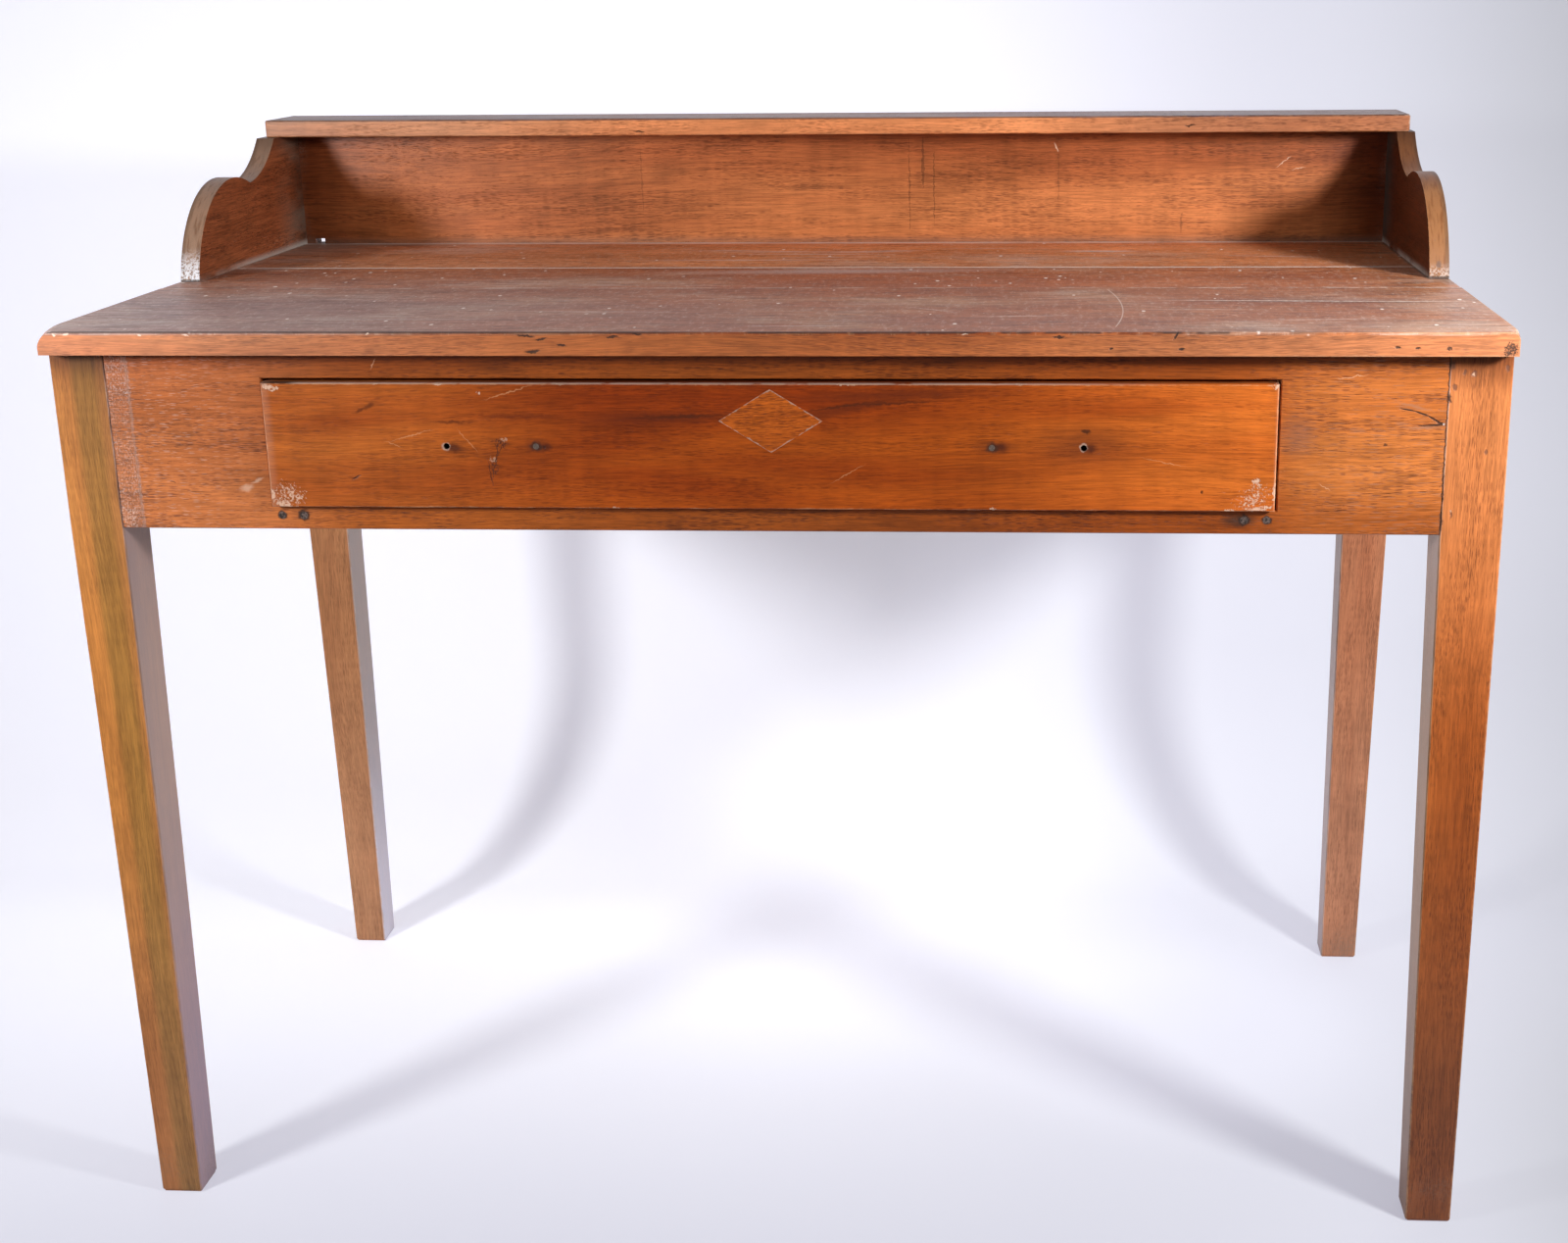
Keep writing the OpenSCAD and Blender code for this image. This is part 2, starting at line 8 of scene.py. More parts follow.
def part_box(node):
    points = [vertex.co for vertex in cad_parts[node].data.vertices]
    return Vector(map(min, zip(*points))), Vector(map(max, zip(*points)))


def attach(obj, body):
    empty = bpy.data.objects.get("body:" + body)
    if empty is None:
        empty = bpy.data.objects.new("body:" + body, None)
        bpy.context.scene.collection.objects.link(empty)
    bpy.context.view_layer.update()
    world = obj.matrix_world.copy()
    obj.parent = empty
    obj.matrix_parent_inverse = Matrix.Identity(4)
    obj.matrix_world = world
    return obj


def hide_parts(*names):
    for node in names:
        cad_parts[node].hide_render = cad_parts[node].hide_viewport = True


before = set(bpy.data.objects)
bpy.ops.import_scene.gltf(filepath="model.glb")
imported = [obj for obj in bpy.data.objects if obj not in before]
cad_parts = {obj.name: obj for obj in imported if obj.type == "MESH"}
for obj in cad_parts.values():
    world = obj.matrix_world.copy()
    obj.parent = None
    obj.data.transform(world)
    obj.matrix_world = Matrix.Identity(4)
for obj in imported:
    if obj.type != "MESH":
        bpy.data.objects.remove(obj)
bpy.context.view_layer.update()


# The four legs.
# Hardwood, square beside the aprons and tapered below them to a small foot. Each is cut from one length,
# with mortises for the apron tenons. The varnish is worn along the corners and dirty at the foot. Each
# leg is tinted from its middle to its foot as painted shade, and its inner face carries a painted sheen.

MM = 0.001


def solid_of(node):
    """A copy of a fixed solid, with its loose triangles merged into whole faces."""
    bm = bmesh.new()
    bm.from_mesh(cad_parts[node].data)
    bmesh.ops.remove_doubles(bm, verts=bm.verts, dist=MM / 1000)
    bmesh.ops.dissolve_limit(bm, angle_limit=math.radians(0.3), verts=bm.verts, edges=bm.edges)
    return bm


def stands_out(bm, face):
    """True for a face that no other part of the piece stands in front of."""
    corner = face.verts[0].co
    return all((v.co - corner).dot(face.normal) < MM / 100 for v in bm.verts)


def corners_of(bm, wanted=None, least_bend=0.5):
    """The sharp outer corners of a piece, or those of its sharp outward edges that wanted() picks."""
    closed = [e for e in bm.edges if len(e.link_faces) == 2]
    sharp = [e for e in closed if e.is_convex and e.calc_face_angle() > least_bend]
    if wanted:
        return [e for e in sharp if wanted(e.verts[0].co, e.verts[1].co)]
    outer = {f for f in bm.faces if stands_out(bm, f)}
    return [e for e in sharp if all(f in outer for f in e.link_faces)]


def round_off(bm, edges, width, along="X", uneven=0.0, step=6 * MM, seed=0.0):
    """Rounds edges as years of hands do: cut in short lengths, each worn a little differently."""
    layer = bm.faces.layers.int.get("worn") or bm.faces.layers.int.new("worn")
    made = bmesh.ops.bevel(
        bm, geom=edges, offset=width, offset_type="OFFSET", segments=3, profile=0.5,
        affect="EDGES", material=-1, clamp_overlap=True,
    )
    fresh = 2 if uneven else 1
    for face in made["faces"]:
        face[layer] = fresh
    if not uneven:
        return
    axis = "XYZ".index(along)
    normal = Vector([i == axis for i in range(3)])
    low = min(v.co[axis] for v in bm.verts)
    high = max(v.co[axis] for v in bm.verts)
    for i in range(1, int((high - low) / step)):
        worn = [f for f in bm.faces if f[layer] == fresh]
        geom = [*dict.fromkeys(x for f in worn for x in (*f.verts, *f.edges)), *worn]
        bmesh.ops.bisect_plane(
            bm, geom=geom, dist=MM / 1000, plane_co=normal * (low + i * step), plane_no=normal,
        )
    bm.normal_update()
    dents_to_metre = 45
    nicks_to_metre = 190
    deepest = width * 0.6
    inner = [v for v in bm.verts if v.link_faces and all(f[layer] == fresh for f in v.link_faces)]
    for v in inner:
        away = v.co + Vector((seed, 0, 0))
        worn = 0.5 + noise.noise(away * dents_to_metre) + 0.6 * noise.noise(away * nicks_to_metre)
        v.co -= v.normal * min(uneven * max(worn, 0), deepest)
    for face in bm.faces:
        face[layer] = min(face[layer], 1)


def piece_from(bm, name, node, body, material):
    """Makes the object that stands for a solid, and rides on its body."""
    layer = bm.faces.layers.int.get("worn") or bm.faces.layers.int.new("worn")
    rubbed = bm.verts.layers.float.new("rubbed")
    for v in bm.verts:
        v[rubbed] = float(all(f[layer] for f in v.link_faces))
    # The cuts leave the faces in no fixed order. Sorted, they are the same in each run.
    in_order = sorted(bm.faces, key=lambda f: f.calc_center_median()[:])
    rank = {face: i for i, face in enumerate(in_order)}
    bm.faces.sort(key=rank.get)
    mesh = bpy.data.meshes.new(name)
    bm.to_mesh(mesh)
    bm.free()
    mesh.shade_smooth()
    mesh.set_sharp_from_angle(angle=math.radians(35))
    mesh.materials.append(material)
    piece = bpy.data.objects.new(name, mesh)
    bpy.context.scene.collection.objects.link(piece)
    flat = piece.modifiers.new("flat_faces", "WEIGHTED_NORMAL")
    flat.keep_sharp = True
    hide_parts(node)
    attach(piece, body)


def add(tree, kind, inputs=None, **options):
    """Puts one shader node in a tree, sets its options, and fills or links its inputs."""
    made = tree.nodes.new("ShaderNode" + kind)
    for name, value in options.items():
        setattr(made, name, value)
    for name, value in (inputs or {}).items():
        socket = made.inputs[name]
        if isinstance(value, bpy.types.NodeSocket):
            tree.links.new(value, socket)
        elif socket.type == "RGBA":
            socket.default_value = (*value, 1.0)
        else:
            socket.default_value = value
    return made


def use(tree, group, inputs):
    """Puts a node group in a tree."""
    return add(tree, "Group", inputs, node_tree=group).outputs


def reckon(tree, operation, *values):
    """One step of arithmetic."""
    inputs = {i: v for i, v in enumerate(values)}
    return add(tree, "Math", inputs, operation=operation).outputs[0]


def vector(tree, operation, *values):
    """One step of arithmetic on places."""
    inputs = {i: v for i, v in enumerate(values)}
    made = add(tree, "VectorMath", inputs, operation=operation)
    return made.outputs["Value" if operation == "LENGTH" else "Vector"]


def sway(tree, value, amount, onto, middle=0.5):
    """Adds so much of the swing of a value about its middle."""
    return reckon(tree, "MULTIPLY_ADD", reckon(tree, "SUBTRACT", value, middle), amount, onto)


def fade(tree, value, start, end, low=0.0, high=1.0):
    """Goes smoothly from low, where the value is at start, to high, where it is at end."""
    inputs = {"Value": value, "From Min": start, "From Max": end, "To Min": low, "To Max": high}
    return add(tree, "MapRange", inputs, interpolation_type="SMOOTHSTEP").outputs["Result"]


def tint(tree, share, under, over, blend="MIX"):
    """Lays one colour over another."""
    inputs = {0: share, 6: under, 7: over}
    made = add(tree, "Mix", inputs, data_type="RGBA", blend_type=blend, clamp_factor=True)
    return made.outputs[2]


def start_group(name, inputs, outputs):
    """An empty node group with named sockets."""
    tree = bpy.data.node_groups.new(name, "ShaderNodeTree")
    for label, kind in inputs:
        tree.interface.new_socket(label, in_out="INPUT", socket_type="NodeSocket" + kind)
    for label, kind in outputs:
        tree.interface.new_socket(label, in_out="OUTPUT", socket_type="NodeSocket" + kind)
    return tree, tree.nodes.new("NodeGroupInput").outputs, tree.nodes.new("NodeGroupOutput").inputs


def cloud(tree, place, scale, stretch=(1, 1, 1), detail=2.0, rough=0.5):
    """Noise from 0 to 1 at a number of spots to the metre, stretched along the axes."""
    spread = vector(tree, "MULTIPLY", place, stretch)
    inputs = {"Vector": spread, "Scale": scale, "Detail": detail, "Roughness": rough}
    return add(tree, "TexNoise", inputs).outputs["Fac"]


# Open vessels: short strokes along X, scattered and of mixed length. Along and Across count them to the
# metre.
open_pores, given, result = start_group(
    "open_pores",
    [("Vector", "Vector"), ("Along", "Float"), ("Across", "Float"), ("Size", "Float")],
    [("Mask", "Float")],
)
t = open_pores
spread = add(t, "CombineXYZ", {0: given["Along"], 1: given["Across"], 2: given["Across"]}).outputs[0]
spread = vector(t, "MULTIPLY", given["Vector"], spread)
cell = add(t, "TexVoronoi", {"Vector": spread, "Scale": 1.0}).outputs
chance = add(t, "SeparateColor", {"Color": cell["Color"]}).outputs[0]
radius = reckon(t, "MULTIPLY", given["Size"], reckon(t, "ADD", chance, 0.35))
t.links.new(fade(t, reckon(t, "DIVIDE", cell["Distance"], radius), 1.0, 0.5), result["Mask"])

# Grain runs along X. Figure is the slow change across a board, streaks are its darker bands, fibres are
# fine lines, and ripple is the faint shimmer across them.
board_grain, given, result = start_group(
    "board_grain",
    [("Vector", "Vector"), ("Pale", "Color"), ("Brown", "Color"), ("Dark", "Color"), ("Streaks", "Float"),
     ("Fibres", "Float"), ("Ripple", "Float"), ("Pores", "Float"), ("Pore rows", "Float")],
    [("Color", "Color"), ("Height", "Float"), ("Pore", "Float"), ("Blotch", "Float")],
)
t = board_grain
wander = add(t, "TexNoise", {"Vector": given["Vector"], "Scale": 2.4, "Detail": 1.0}).outputs["Color"]
wander = vector(t, "MULTIPLY", vector(t, "SUBTRACT", wander, (0.5, 0.5, 0.5)), (0.0, 0.03, 0.03))
place = vector(t, "ADD", given["Vector"], wander)
figure = cloud(t, place, 1.0, (2.0, 24, 24), 3.0, 0.55)
streak = cloud(t, place, 1.0, (3.5, 130, 130), 3.0, 0.6)
fibre = fade(t, cloud(t, place, 1.0, (20, 600, 600), 3.0, 0.7), 0.34, 0.66)
crowd = cloud(t, place, 1.0, (9, 60, 60), 2.0)
blotch = cloud(t, given["Vector"], 1.0, (7, 16, 16), 4.0, 0.6)
ripple = cloud(t, given["Vector"], 1.0, (75, 11, 11), 2.0)
size = fade(t, crowd, 0.36, 0.64, 0.16, 0.56)
pore = use(t, open_pores, {
    "Vector": place, "Along": 115.0, "Across": given["Pore rows"], "Size": size,
})["Mask"]
hair = fade(t, cloud(t, place, 1.0, (55, 1200, 1200), 2.0, 0.6), 0.36, 0.64)
tone = tint(t, fade(t, figure, 0.30, 0.68), given["Brown"], given["Pale"])
dark_share = reckon(t, "MULTIPLY", fade(t, streak, 0.52, 0.80), given["Streaks"])
tone = tint(t, dark_share, tone, given["Dark"])
shade = sway(t, fibre, given["Fibres"], 1.0)
shade = sway(t, hair, reckon(t, "MULTIPLY", given["Fibres"], 0.8), shade)
shade = sway(t, blotch, 0.9, shade)
shade = sway(t, ripple, given["Ripple"], shade)
tone = tint(t, 1.0, tone, add(t, "CombineXYZ", {i: shade for i in range(3)}).outputs[0], "MULTIPLY")
pore_share = reckon(t, "MULTIPLY", pore, given["Pores"])
tone = tint(t, pore_share, tone, (0.33, 0.25, 0.21), "MULTIPLY")
t.links.new(tone, result["Color"])
pore_depth = reckon(t, "MULTIPLY", pore_share, -0.12)
t.links.new(sway(t, fibre, 0.02, pore_depth), result["Height"])
t.links.new(pore_share, result["Pore"])
t.links.new(blotch, result["Blotch"])

# A mark is an oval spot, or a line when it is long and thin, turned about the face that it lies on.
spot_mark, given, result = start_group(
    "spot_mark",
    [("Place", "Vector"), ("Centre", "Vector"), ("Half size", "Vector"), ("Axis", "Vector"),
     ("Turn", "Float"), ("Soft", "Float")],
    [("Mask", "Float")],
)
t = spot_mark
apart = vector(t, "SUBTRACT", given["Place"], given["Centre"])
turning = {"Vector": apart, "Axis": given["Axis"], "Angle": given["Turn"]}
apart = add(t, "VectorRotate", turning, rotation_type="AXIS_ANGLE").outputs["Vector"]
away = vector(t, "LENGTH", vector(t, "DIVIDE", apart, given["Half size"]))
inner = reckon(t, "SUBTRACT", 1.0, given["Soft"])
outer = reckon(t, "ADD", 1.0, given["Soft"])
t.links.new(fade(t, away, outer, inner), result["Mask"])

# Wear along the corners of a board: the share of the way from a corner inwards, made patchy.
corner_wear, given, result = start_group(
    "corner_wear",
    [("Place", "Vector"), ("Low", "Vector"), ("High", "Vector"), ("Reach", "Float"), ("Patchy", "Float")],
    [("Mask", "Float")],
)
t = corner_wear
inside = vector(t, "MINIMUM", vector(t, "SUBTRACT", given["Place"], given["Low"]),
                vector(t, "SUBTRACT", given["High"], given["Place"]))
inside = vector(t, "MAXIMUM", inside, (0.0, 0.0, 0.0))
x, y, z = add(t, "SeparateXYZ", {"Vector": inside}).outputs
least = reckon(t, "MINIMUM", reckon(t, "MINIMUM", x, y), z)
most = reckon(t, "MAXIMUM", reckon(t, "MAXIMUM", x, y), z)
total = reckon(t, "ADD", reckon(t, "ADD", x, y), z)
to_corner = reckon(t, "SUBTRACT", total, reckon(t, "ADD", least, most))
share = reckon(t, "DIVIDE", to_corner, given["Reach"])
rough_edge = cloud(t, given["Place"], 160.0, (1, 1, 1), 4.0, 0.7)
long_change = cloud(t, given["Place"], 14.0, (1, 1, 1), 2.0)
share = sway(t, rough_edge, 2.2, share, 0.45)
share = sway(t, long_change, given["Patchy"], share, 0.45)
t.links.new(fade(t, share, 1.0, 0.35), result["Mask"])

# Dust and grime: soft clouds broken by fine specks.
settled_dust, given, result = start_group("settled_dust", [("Place", "Vector")], [("Mask", "Float")])
t = settled_dust
drift = fade(t, cloud(t, given["Place"], 11.0, (1, 1, 1), 4.0, 0.6), 0.40, 0.72)
speck = fade(t, cloud(t, given["Place"], 420.0, (1, 1, 1), 3.0, 0.7), 0.30, 0.75)
t.links.new(reckon(t, "MULTIPLY", drift, speck), result["Mask"])


class Finish:
    """A board's finish while it is built up: the grain, then marks and wear on it, then the varnish."""

    turns = {"X": (0, 0, 0), "Y": (0, 0, -math.pi / 2), "Z": (0, math.pi / 2, 0)}

    def __init__(self, name, wood, along="X", seed=0.0, tilt=0.0,
                 streaks=0.3, fibres=0.36, ripple=0.25, pores=0.55, rows=1600, dull=0.42):
        pale, brown, dark = wood
        self.material = bpy.data.materials.new(name)
        self.material.use_nodes = True
        self.tree = self.material.node_tree
        self.tree.nodes.clear()
        self.place = add(self.tree, "TexCoord").outputs["Object"]
        rx, ry, rz = self.turns[along]
        lie = add(self.tree, "Mapping", {
            "Vector": self.place, "Location": (seed * 3.1, seed * 1.7, seed * 2.3),
            "Rotation": (rx, ry + tilt, rz + tilt),
        })
        grain = use(self.tree, board_grain, {
            "Vector": lie.outputs["Vector"], "Pale": pale, "Brown": brown, "Dark": dark,
            "Streaks": streaks, "Fibres": fibres, "Ripple": ripple, "Pores": pores, "Pore rows": rows,
        })
        self.colour = grain["Color"]
        self.height = grain["Height"]
        self.dull = reckon(self.tree, "MULTIPLY_ADD", grain["Blotch"], 0.16, dull - 0.08)
        self.dull = reckon(self.tree, "MULTIPLY_ADD", grain["Pore"], 0.15, self.dull)
        self.blotch = grain["Blotch"]
        self.grain_place = lie.outputs["Vector"]
        crumbs = {"Vector": self.place, "Scale": 260.0, "Detail": 3.0}
        shift = add(self.tree, "TexNoise", crumbs).outputs["Color"]
        shift = vector(self.tree, "SUBTRACT", shift, (0.5, 0.5, 0.5))
        reach = 4 * MM
        self.ragged = vector(self.tree, "MULTIPLY_ADD", shift, (reach, reach, reach), self.place)

    def stain(self, mask, colour, cover=1.0, dull=None, lower=0.0, blend="MIX"):
        """Where the mask is, changes the colour and the dullness, and lowers the surface, in mm."""
        share = reckon(self.tree, "MULTIPLY", mask, cover)
        self.colour = tint(self.tree, share, self.colour, colour, blend)
        if dull is not None:
            inputs = {0: share, 2: self.dull, 3: dull}
            self.dull = add(self.tree, "Mix", inputs, data_type="FLOAT").outputs[0]
        if lower:
            self.height = reckon(self.tree, "MULTIPLY_ADD", mask, -lower, self.height)

    def shade(self, mask, colour, cover=1.0, dull=None):
        """Where the mask is, multiplies the colour, to darken, lighten or warm it; also used for painted
        shade and light.
        """
        self.stain(mask, colour, cover, dull, blend="MULTIPLY")

    def patches(self, start, end, scale, stretch=(1, 1, 1), detail=2.0, rough=0.5):
        """A mask of soft, uneven patches, so many to the metre."""
        return fade(self.tree, cloud(self.tree, self.place, scale, stretch, detail, rough), start, end)

    def blotches(self, start, end):
        """A mask of the wood's own blotches."""
        return fade(self.tree, self.blotch, start, end)

    def marks(self, rows, level, flat=False, soft=0.4, thick=30.0, ragged=True):
        """One mask for rows of (across, up, length, width) in mm, and a turn in degrees if there is one.
        They lie on an upright face at the depth level, or with flat on a level face at that height."""
        mask = None
        for u, v, length, width, *turn in rows:
            centre = (u * MM, v * MM, level) if flat else (u * MM, level, v * MM)
            half = (length / 2, width / 2, thick) if flat else (length / 2, thick, width / 2)
            one = use(self.tree, spot_mark, {
                "Place": self.ragged if ragged else self.place, "Centre": centre,
                "Half size": [MM * h for h in half], "Axis": (0, 0, -1) if flat else (0, 1, 0),
                "Turn": math.radians(turn[0] if turn else 0), "Soft": soft,
            })["Mask"]
            mask = one if mask is None else reckon(self.tree, "MAXIMUM", mask, one)
        return mask

    def spots(self, rows, level, colour, cover, soft=0.4, thick=30.0, flat=False, ragged=True,
              dull=None, lower=0.0):
        """Stains the marks that marks() makes of these rows."""
        mask = self.marks(rows, level, flat, soft, thick, ragged)
        self.stain(mask, colour, cover, dull, lower)

    def along(self, axis, start, end):
        """A mask that rises along an axis, from 0 at start to 1 at end."""
        parts = add(self.tree, "SeparateXYZ", {"Vector": self.place}).outputs
        return fade(self.tree, parts["XYZ".index(axis)], start, end)

    def line(self, axis, at, width):
        """A mask on a thin, slightly wavering line across an axis."""
        parts = add(self.tree, "SeparateXYZ", {"Vector": self.ragged}).outputs
        away = reckon(self.tree, "ABSOLUTE", reckon(self.tree, "SUBTRACT", parts["XYZ".index(axis)], at))
        return fade(self.tree, away, width, width * 0.4)

    def corners(self, low, high, reach, patchy=1.0):
        """A mask along the corners of a board that lies between two places."""
        return use(self.tree, corner_wear, {
            "Place": self.place, "Low": low, "High": high, "Reach": reach, "Patchy": patchy,
        })["Mask"]

    def rubbed(self):
        """A patchy mask on the corners that were rounded off."""
        edge = add(self.tree, "Attribute", attribute_name="rubbed").outputs["Fac"]
        return self.meet(edge, self.patches(0.3, 0.6, 120.0, detail=4.0, rough=0.7))

    def strokes(self, size=0.34, rows=800.0, run=60.0):
        """A mask of short strokes along the grain, other than its own pores."""
        elsewhere = vector(self.tree, "ADD", self.grain_place, (0.37, 0.21, 0.43))
        inputs = {"Vector": elsewhere, "Along": run, "Across": rows, "Size": size}
        return use(self.tree, open_pores, inputs)["Mask"]

    def flaked(self, mask, scale=300.0, most=0.62):
        """Breaks a soft mask up into crumbs, as where varnish or paint has flaked."""
        crumbs = cloud(self.tree, self.place, scale, (1, 1, 1), 4.0, 0.7)
        return fade(self.tree, reckon(self.tree, "MULTIPLY_ADD", mask, most, crumbs), 1.0, 1.10)

    def dust(self):
        """A mask of settled dust."""
        return use(self.tree, settled_dust, {"Place": self.place})["Mask"]

    def meet(self, *masks, **ramps):
        """A mask where these masks meet with ramps along the axes: X=(start, end), or two such pairs."""
        masks = list(masks)
        for axis, ends in ramps.items():
            masks += [self.along(axis, *ends[i:i + 2]) for i in range(0, len(ends), 2)]
        mask = masks[0]
        for other in masks[1:]:
            mask = reckon(self.tree, "MULTIPLY", mask, other)
        return mask

    def either(self, one, other):
        """A mask where at least one of two masks is."""
        return reckon(self.tree, "MAXIMUM", one, other)

    def varnish(self, coat=0.06, coat_dull=0.25, shine=0.25):
        """Closes the finish with its varnish, and gives the material."""
        bump = add(self.tree, "Bump", {"Height": self.height, "Distance": MM, "Strength": 1.0})
        shader = add(self.tree, "BsdfPrincipled", {
            "Base Color": self.colour, "Roughness": self.dull, "Normal": bump.outputs["Normal"],
            "Coat Weight": coat, "Coat Roughness": coat_dull, "IOR": 1.45, "Specular IOR Level": shine,
        })
        add(self.tree, "OutputMaterial", {"Surface": shader.outputs[0]})
        return self.material


apron_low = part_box("apron_front")[0].z
leg_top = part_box("leg_front_left")[1].z
apron_ends = (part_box("leg_front_left")[1].x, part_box("leg_front_right")[0].x)
# For each leg: its wood and grain, the painted shade of its middle and its foot, and the painted sheen on
# its inner face.
legs = {
    "front_left": {
        "wood": ((0.37, 0.155, 0.040), (0.27, 0.104, 0.026), (0.13, 0.050, 0.013)),
        "grain": dict(seed=1.3, tilt=0.012, streaks=0.35, pores=0.3, fibres=0.28),
        "middle": (1.02, 1.0, 1.0), "foot": (0.82, 0.80, 1.22), "inner_face_sheen": (0.41, 0.34, 0.35),
    },
    "front_right": {
        "wood": ((0.52, 0.186, 0.062), (0.415, 0.134, 0.040), (0.18, 0.045, 0.014)),
        "grain": dict(seed=2.9, tilt=-0.01, streaks=0.25, pores=0.62, fibres=0.32),
        "middle": (0.53, 0.38, 0.21), "foot": (0.29, 0.225, 0.19), "inner_face_sheen": (0.70, 0.62, 0.60),
    },
    "back_left": {
        "wood": ((0.405, 0.176, 0.073), (0.31, 0.120, 0.048), (0.17, 0.06, 0.02)),
        "grain": dict(seed=4.1, tilt=0.008, streaks=0.25, pores=0.40, fibres=0.26),
        "middle": (1.0, 1.0, 1.0), "foot": (1.02, 1.16, 1.45), "inner_face_sheen": (0.76, 0.72, 0.74),
    },
    "back_right": {
        "wood": ((0.312, 0.122, 0.060), (0.247, 0.085, 0.039), (0.14, 0.045, 0.018)),
        "grain": dict(seed=5.7, tilt=-0.008, streaks=0.3, pores=0.55, fibres=0.28),
        "middle": (0.98, 0.98, 0.98), "foot": (0.96, 1.06, 1.20), "inner_face_sheen": (0.42, 0.35, 0.35),
    },
}
for place_name, leg in legs.items():
    node_name = "leg_" + place_name
    is_left = place_name.endswith("left")
    bm = solid_of(node_name)
    low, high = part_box(node_name)
    finish = Finish(place_name + "_leg_varnish", leg["wood"], along="Z", **leg["grain"])

    # The tapered leg's own two opposite corners at each height, for the wear along them.
    foot = [v.co for v in bm.verts if MM < v.co.z < 3 * MM]
    foot_low = Vector([min(co[i] for co in foot) for i in range(3)])
    foot_high = Vector([max(co[i] for co in foot) for i in range(3)])
    across, _, height = add(finish.tree, "SeparateXYZ", {"Vector": finish.place}).outputs
    rise = {"Value": height, "From Min": 0.0, "From Max": apron_low}
    up = add(finish.tree, "MapRange", rise).outputs[0]
    sides = []
    for at_foot, at_top, past in ((foot_low, low, -1), (foot_high, high, 2)):
        ends = {0: up, 4: (at_foot.x, at_foot.y, past), 5: (at_top.x, at_top.y, past)}
        sides.append(add(finish.tree, "Mix", ends, data_type="VECTOR").outputs[1])
    # Painted sheen: the inner face, towards the other leg, is painted pale and grey, as light grazing it
    # looks.
    inner_side = add(finish.tree, "SeparateXYZ", {"Vector": sides[1] if is_left else sides[0]}).outputs[0]
    from_inner = reckon(finish.tree, "ABSOLUTE", reckon(finish.tree, "SUBTRACT", inner_side, across))
    painted_inner_sheen = fade(finish.tree, from_inner, 1.6 * MM, 0.5 * MM)
    finish.stain(painted_inner_sheen, leg["inner_face_sheen"], 0.6, dull=0.5)

    # Painted shade: from the middle down to the foot each leg is tinted, mostly darker, as the lamps'
    # light falls off down it.
    finish.shade(finish.along("Z", 0.70, 0.42), leg["middle"])
    foot_shade_over_middle = [f / m for f, m in zip(leg["foot"], leg["middle"])]
    finish.shade(finish.along("Z", 0.40, 0.05), foot_shade_over_middle, dull=0.55)
    worn = finish.corners(sides[0], sides[1], 1.8 * MM)
    finish.stain(worn, (0.46, 0.24, 0.11), 0.45, dull=0.6, lower=0.05)
    grimy = finish.meet(finish.dust(), Z=(0.06, 0.0))
    finish.stain(grimy, (0.15, 0.12, 0.10), 0.7, dull=0.8)
    # The top of each leg, just under the top board, is darkened: painted shade under the top's overhang,
    # with some grime.
    finish.shade(finish.along("Z", leg_top - 0.035, leg_top), (0.35, 0.28, 0.25))
    if place_name == "front_left":
        golden = finish.along("X", low.x + 0.020, low.x + 0.012)
        finish.shade(golden, (1.16, 1.10, 0.95))
        olive = finish.meet(X=(low.x + 0.012, low.x + 0.020, high.x - 0.004, high.x - 0.012))
        finish.shade(olive, (0.84, 0.96, 0.80))
        # Painted shade: the upper part of this leg is darkened a little, to even out the light down it.
        finish.shade(finish.along("Z", 0.48, 0.64), (0.89, 0.88, 0.95))
    if place_name == "front_right":
        knocks = [
            (527.7, 726.3, 4.5, 4.0), (520.9, 727.5, 2.2, 4.5), (514.1, 716.4, 3.0, 5.5, 20),
            (510.9, 707.2, 1.6, 5, 10), (552.2, 731.2, 2, 5), (516.9, 618.8, 1.8, 6), (540, 667.4, 2, 4),
        ]
        finish.spots(knocks, low.y, (0.10, 0.040, 0.024), 0.75, thick=8.0, dull=0.7, lower=0.2)
        seam_knots = [
            (511.5, 733.0, 4, 7, 10), (510.6, 708.5, 2.4, 7), (510.2, 612.0, 3.0, 16),
            (510.2, 633.0, 2.2, 9),
        ]
        finish.spots(seam_knots, low.y, (0.05, 0.022, 0.014), 0.8, soft=0.6, thick=8.0, dull=0.8)
        filled = [(527.7, 726.1, 2.4, 2.0), (517.1, 621.0, 1.0, 2.0)]
        finish.spots(filled, low.y, (0.50, 0.30, 0.20), 0.8, thick=8.0)
    if place_name.startswith("front"):
        seam = finish.line("X", apron_ends[0 if is_left else 1], 0.6 * MM)
        seam = finish.meet(seam, Z=(apron_low - MM, apron_low + MM))
        finish.stain(seam, (0.050, 0.024, 0.015), 0.4 if is_left else 0.8, dull=0.8)
    seed = leg["grain"]["seed"]
    round_off(bm, corners_of(bm), 1.4 * MM, "Z", uneven=0.8 * MM, step=9 * MM, seed=seed)
    piece_from(bm, place_name + "_leg", node_name, "desk", finish.varnish())


# The aprons.
# Four boards between the legs, tenoned into them. The front one has the drawer opening cut in it and is
# polished. Its wood is full of short dark pores, and old glue and filler crumble at its left end.

front_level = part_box("apron_front")[0].y
opening_reach = 0.45


def at_front_corner(a, b):
    """Picks the lower front edge of the apron and the front edges of its opening."""
    if abs(a.y - front_level) > MM / 10 or abs(b.y - front_level) > MM / 10:
        return False
    if abs(a.z - apron_low) < MM / 10 and abs(b.z - apron_low) < MM / 10:
        return True
    middle = (a + b) / 2
    return (a - b).length > 50 * MM and abs(middle.x) < opening_reach and middle.z < leg_top - MM


